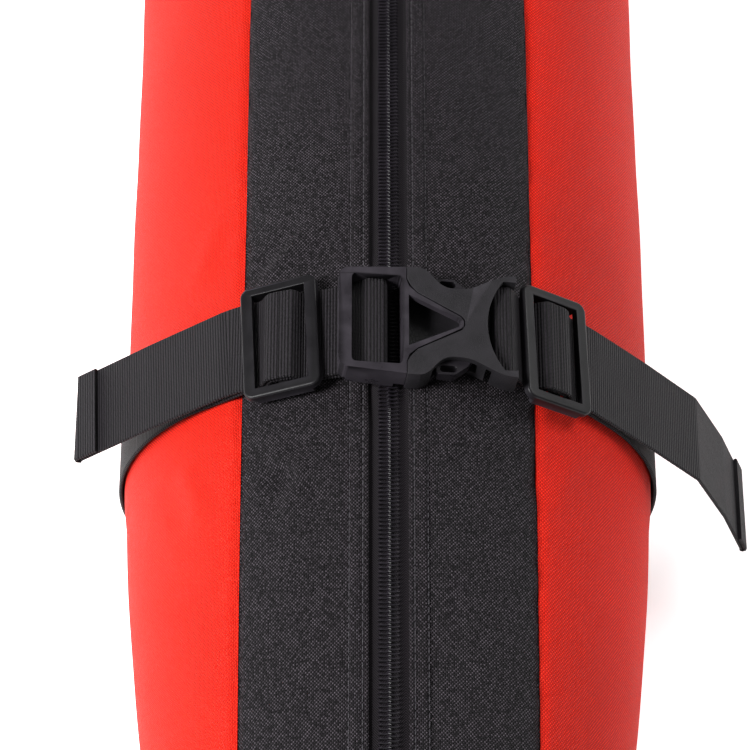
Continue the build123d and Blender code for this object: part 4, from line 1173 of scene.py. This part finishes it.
# %% Grab loops
LOOP_HALF = 36.0
LOOP_REACH = 30.0
LOOP_HEIGHT = 45.0
LOOP_WEB = 25.0

for name, end in (("foot", -1), ("head", 1)):
    foot = HALF_LENGTH + 1.6
    tip = HALF_LENGTH + LOOP_REACH
    marks = [(-LOOP_HALF, foot), (-LOOP_HALF * 0.62, foot), (-LOOP_HALF * 0.5, tip),
             (LOOP_HALF * 0.5, tip), (LOOP_HALF * 0.62, foot), (LOOP_HALF, foot)]
    line = evenly(rounded(marks, 7.0), 0.9)
    rings, across, along = ribbon(line, 0.0, scale=LOOP_WEB / 2 / WEB_HALF)
    turned = np.stack([rings[..., 0], end * rings[..., 2], LOOP_HEIGHT + rings[..., 1]], axis=-1)
    grab = make_strap(f"grab_loop_{name}_web", [(turned, across, along)])
    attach(grab, "bag")
    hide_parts(f"grab_loop_{name}")
    rise = end * (foot + WEB_THICK / 2 + 0.1)
    sewn = []
    for side in (-1, 1):
        xs = [side * (LOOP_HALF - 1.5), side * LOOP_HALF * 0.66]
        zs = [LOOP_HEIGHT - LOOP_WEB / 2 + 2.0, LOOP_HEIGHT + LOOP_WEB / 2 - 2.0]
        box = [(xs[0], zs[0]), (xs[1], zs[0]), (xs[1], zs[1]), (xs[0], zs[1]), (xs[0], zs[0]), (xs[1], zs[1])]
        path = evenly(np.array(box), 0.5)
        path = np.stack([path[:, 0], np.full(len(path), rise), path[:, 1]], axis=-1)
        sewn.append((path, np.tile([0.0, float(end), 0.0], (len(path), 1))))
    sew(f"grab_loop_{name}_stitching", sewn, "bag")

# %% [markdown]
# ## Handles
#
# Each carry handle is 30 mm webbing that hangs in a flat U over the side, held under a sewn tab
# at both ends. Its outline is drawn in the side view and laid on the bag's surface: the height
# gives the turn round the section, and the turn gives how far out the webbing lies. The left one
# has a padded grip, which closes round it.

# %% Handles on the side surface
HANDLE_WEB = 30.0
HANDLE_SPAN = 150.0
HANDLE_LOW = 92.0
HANDLE_Z = 100.0
HANDLE_LAY = 3.2
HANDLE_THICK = 1.8
HANDLE_TURN = 57.0
TAB_TURNS = (56.2, 65.0)
GRIP_HALF = 55.0
GRIP_TURNS = (6.5, 30.0)
GRIP_THICK = 6.0


def on_side(side, y, z, lift):
    """Point on the bag's side at height z: the sine of its turn is the height above the waist."""
    turn = np.degrees(np.arcsin(np.clip((z - WAIST) / (HEIGHT - WAIST + lift), -1.0, 1.0)))
    x, level = section(np.zeros_like(z), turn, lift)
    return np.stack([side * x, y, level], axis=-1)


top_z = float(section(np.zeros(1), np.array([HANDLE_TURN]), HANDLE_LAY)[1][0])
leg_slope = (HANDLE_SPAN + HANDLE_WEB / 4 - HANDLE_LOW) / (HEIGHT - HANDLE_Z)
leg_top = HANDLE_LOW + leg_slope * (top_z - HANDLE_Z)
handle_marks = [(-leg_top, top_z), (-HANDLE_LOW, HANDLE_Z), (HANDLE_LOW, HANDLE_Z), (leg_top, top_z)]

for name, side in (("left", -1), ("right", 1)):
    line = evenly(rounded(handle_marks, 40.0), 1.5)
    way = np.gradient(line, axis=0)
    way /= np.linalg.norm(way, axis=1, keepdims=True)
    off = np.stack([-way[:, 1], way[:, 0]], axis=-1)
    v = np.linspace(-HANDLE_WEB / 2, HANDLE_WEB / 2, 13)
    spots = line[:, None] + off[:, None] * v[None, :, None]
    spots[..., 1] = np.minimum(spots[..., 1], top_z)
    skin = on_side(side, spots[..., 0], spots[..., 1], HANDLE_LAY + HANDLE_THICK)
    under = on_side(side, spots[:, ::-1, 0], spots[:, ::-1, 1], HANDLE_LAY)
    rings = np.concatenate([skin, under], axis=1)
    across = around(rings)
    length = np.concatenate([[0.0], np.cumsum(np.linalg.norm(np.diff(line, axis=0), axis=1))])
    handle = make_strap(
        f"handle_{name}_web", [(rings, across, np.broadcast_to(length[:, None], across.shape))]
    )
    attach(handle, f"handle_{name}")
    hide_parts(f"handle_{name}")
    tabs, boxes = [], []
    for y in (-HANDLE_SPAN, HANDLE_SPAN):
        turns = np.linspace(TAB_TURNS[0] + 1.4, TAB_TURNS[1], 12)
        ys = np.linspace(y - HANDLE_WEB / 2, y + HANDLE_WEB / 2, 13)
        xo, zo = section(np.zeros_like(turns), turns, 2.9)
        xi, zi = section(np.zeros_like(turns), turns, 0.2)
        out_side = np.stack(np.broadcast_arrays((side * xo)[:, None], ys, zo[:, None]), axis=-1)
        in_side = np.stack(np.broadcast_arrays((side * xi)[:, None], ys[::-1], zi[:, None]), axis=-1)
        tab = np.concatenate([out_side, in_side], axis=1)
        girth = around(tab)
        tab_length = np.radians(turns) * HALF_WIDTH
        tabs.append((tab, girth, np.broadcast_to(tab_length[:, None], girth.shape)))
        high, low = turns[0] + 1.0, turns[-1] - 0.8
        first, last = ys[0] + 2.0, ys[-1] - 2.0
        box = [(high, first), (low, first), (low, last), (high, last), (high, first), (low, last)]
        corners = np.array(box)
        legs = [np.linspace(a, b, 40)[:-1] for a, b in zip(corners[:-1], corners[1:])]
        fine = np.concatenate(legs + [corners[-1:]])
        xs, zs = section(np.zeros(len(fine)), fine[:, 0], 3.05)
        lean_up = np.radians(fine[:, 0])
        rise = np.stack([side * np.cos(lean_up), 0 * lean_up, np.sin(lean_up)], axis=-1)
        boxes.append((np.stack([side * xs, fine[:, 1], zs], axis=-1), rise))
    holder = make_strap(f"handle_tabs_{name}_web", tabs)
    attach(holder, "bag")
    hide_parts(f"handle_tabs_{name}")
    sew(f"handle_tabs_{name}_stitching", boxes, "bag")

# %% Padded grip
grip_y = np.linspace(-GRIP_HALF, GRIP_HALF, 75)
angle = np.linspace(0.0, 2 * np.pi, 97)[:-1]
middle_turn = sum(GRIP_TURNS) / 2
half_turn = (GRIP_TURNS[1] - GRIP_TURNS[0]) / 2
middle_lift = 1.2 + GRIP_THICK / 2
round_turn = np.sign(np.cos(angle)) * np.abs(np.cos(angle)) ** 0.55
round_lift = np.sign(np.sin(angle)) * np.abs(np.sin(angle)) ** 0.75
end_pull = 1.0 - 0.16 * np.abs(grip_y[:, None] / GRIP_HALF) ** 10
channel = 1.0 - 0.13 * np.exp(-(((np.abs(grip_y[:, None]) - GRIP_HALF + 6.0) / 1.3) ** 2))
plump = 0.12 * np.sin(grip_y[:, None] / 8.0) * np.cos(2 * angle)[None, :]
turns = middle_turn + half_turn * round_turn[None, :] * (0.5 + 0.5 * end_pull)
lifts = middle_lift + (GRIP_THICK / 2) * round_lift[None, :] * end_pull * channel + plump
x, z = section(np.zeros_like(turns), turns, lifts)
rings = np.stack([-x, np.broadcast_to(grip_y[:, None], x.shape), z], axis=-1)
across = around(rings)
faces, cloth = sleeve(rings, across, np.broadcast_to(grip_y[:, None], across.shape))
grip = make_piece("handle_grip", rings, faces, cloth, BLACK_CLOTH)
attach(grip, "handle_left")
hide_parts("handle_wrap")

# %% [markdown]
# ## Floor and light
#
# The bag lies on a plain white sweep. One large soft light stands to the left and a little towards
# the camera, so the left panels are bright and the right side falls away. A weaker one from the
# right keeps the shadows open, and the pale surroundings fill the rest. The floor glows a little,
# so that it stays white round the bag.

# %% Floor
FLOOR_GLOW = 0.6
paper, tree, shader = finish(
    "white_sweep", Roughness=0.9, Emission_Color=(1.0, 1.0, 1.0, 1.0), Emission_Strength=FLOOR_GLOW
)
place = add(tree, "ShaderNodeTexCoord", out="Object")
fleck = add(tree, "ShaderNodeTexNoise", {"Vector": place, "Scale": 4.0, "Detail": 2.0})
tone = add(tree, "ShaderNodeMapRange", {"Value": fleck, "To Min": 0.93, "To Max": 0.95})
shade = add(tree, "ShaderNodeCombineColor", {0: tone, 1: tone, 2: tone})
tree.links.new(shade, shader.inputs["Base Color"])
floor_mesh = bpy.data.meshes.new("floor")
SWEEP = 6.0
sweep_corners = [(-SWEEP, -SWEEP, 0), (SWEEP, -SWEEP, 0), (SWEEP, SWEEP, 0), (-SWEEP, SWEEP, 0)]
floor_mesh.from_pydata(sweep_corners, [], [(0, 1, 2, 3)])
floor_mesh.materials.append(paper)
floor = bpy.data.objects.new("floor", floor_mesh)
bpy.context.scene.collection.objects.link(floor)
floor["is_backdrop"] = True


# %% Lights
def soft_light(name, place, target, size, power):
    """Square area light at a place, turned to face a target."""
    data = bpy.data.lights.new(name, "AREA")
    data.shape = "SQUARE"
    data.size = size
    data.energy = power
    lamp = bpy.data.objects.new(name, data)
    lamp.location = place
    lamp.rotation_euler = (Vector(target) - Vector(place)).to_track_quat("-Z", "Y").to_euler()
    bpy.context.scene.collection.objects.link(lamp)
    return lamp


soft_light("key_light", (-1.45, -1.0, 1.45), strap_crown, 0.75, 88.0)
soft_light("fill_light", (1.5, 0.3, 1.4), strap_crown, 1.0, 32.0)
world = bpy.data.worlds.new("studio")
bpy.context.scene.world = world
world.use_nodes = True
world.node_tree.nodes["Background"].inputs["Color"].default_value = (1.0, 1.0, 1.0, 1.0)
world.node_tree.nodes["Background"].inputs["Strength"].default_value = 0.22
bpy.context.scene.view_settings.view_transform = "Standard"

# %% [markdown]
# ## Sizes
#
# The frame's box and the dressed model's box are gathered side by side, and the dressed one is printed.
# The dressed model may stand only a little proud of the frame.

# %% Gather the two boxes
visual_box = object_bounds()
boxes = {"cad": [list(corner) for corner in cad_box], "visual": [list(corner) for corner in visual_box]}
print("visual box:", [[round(c, 3) for c in corner] for corner in visual_box])
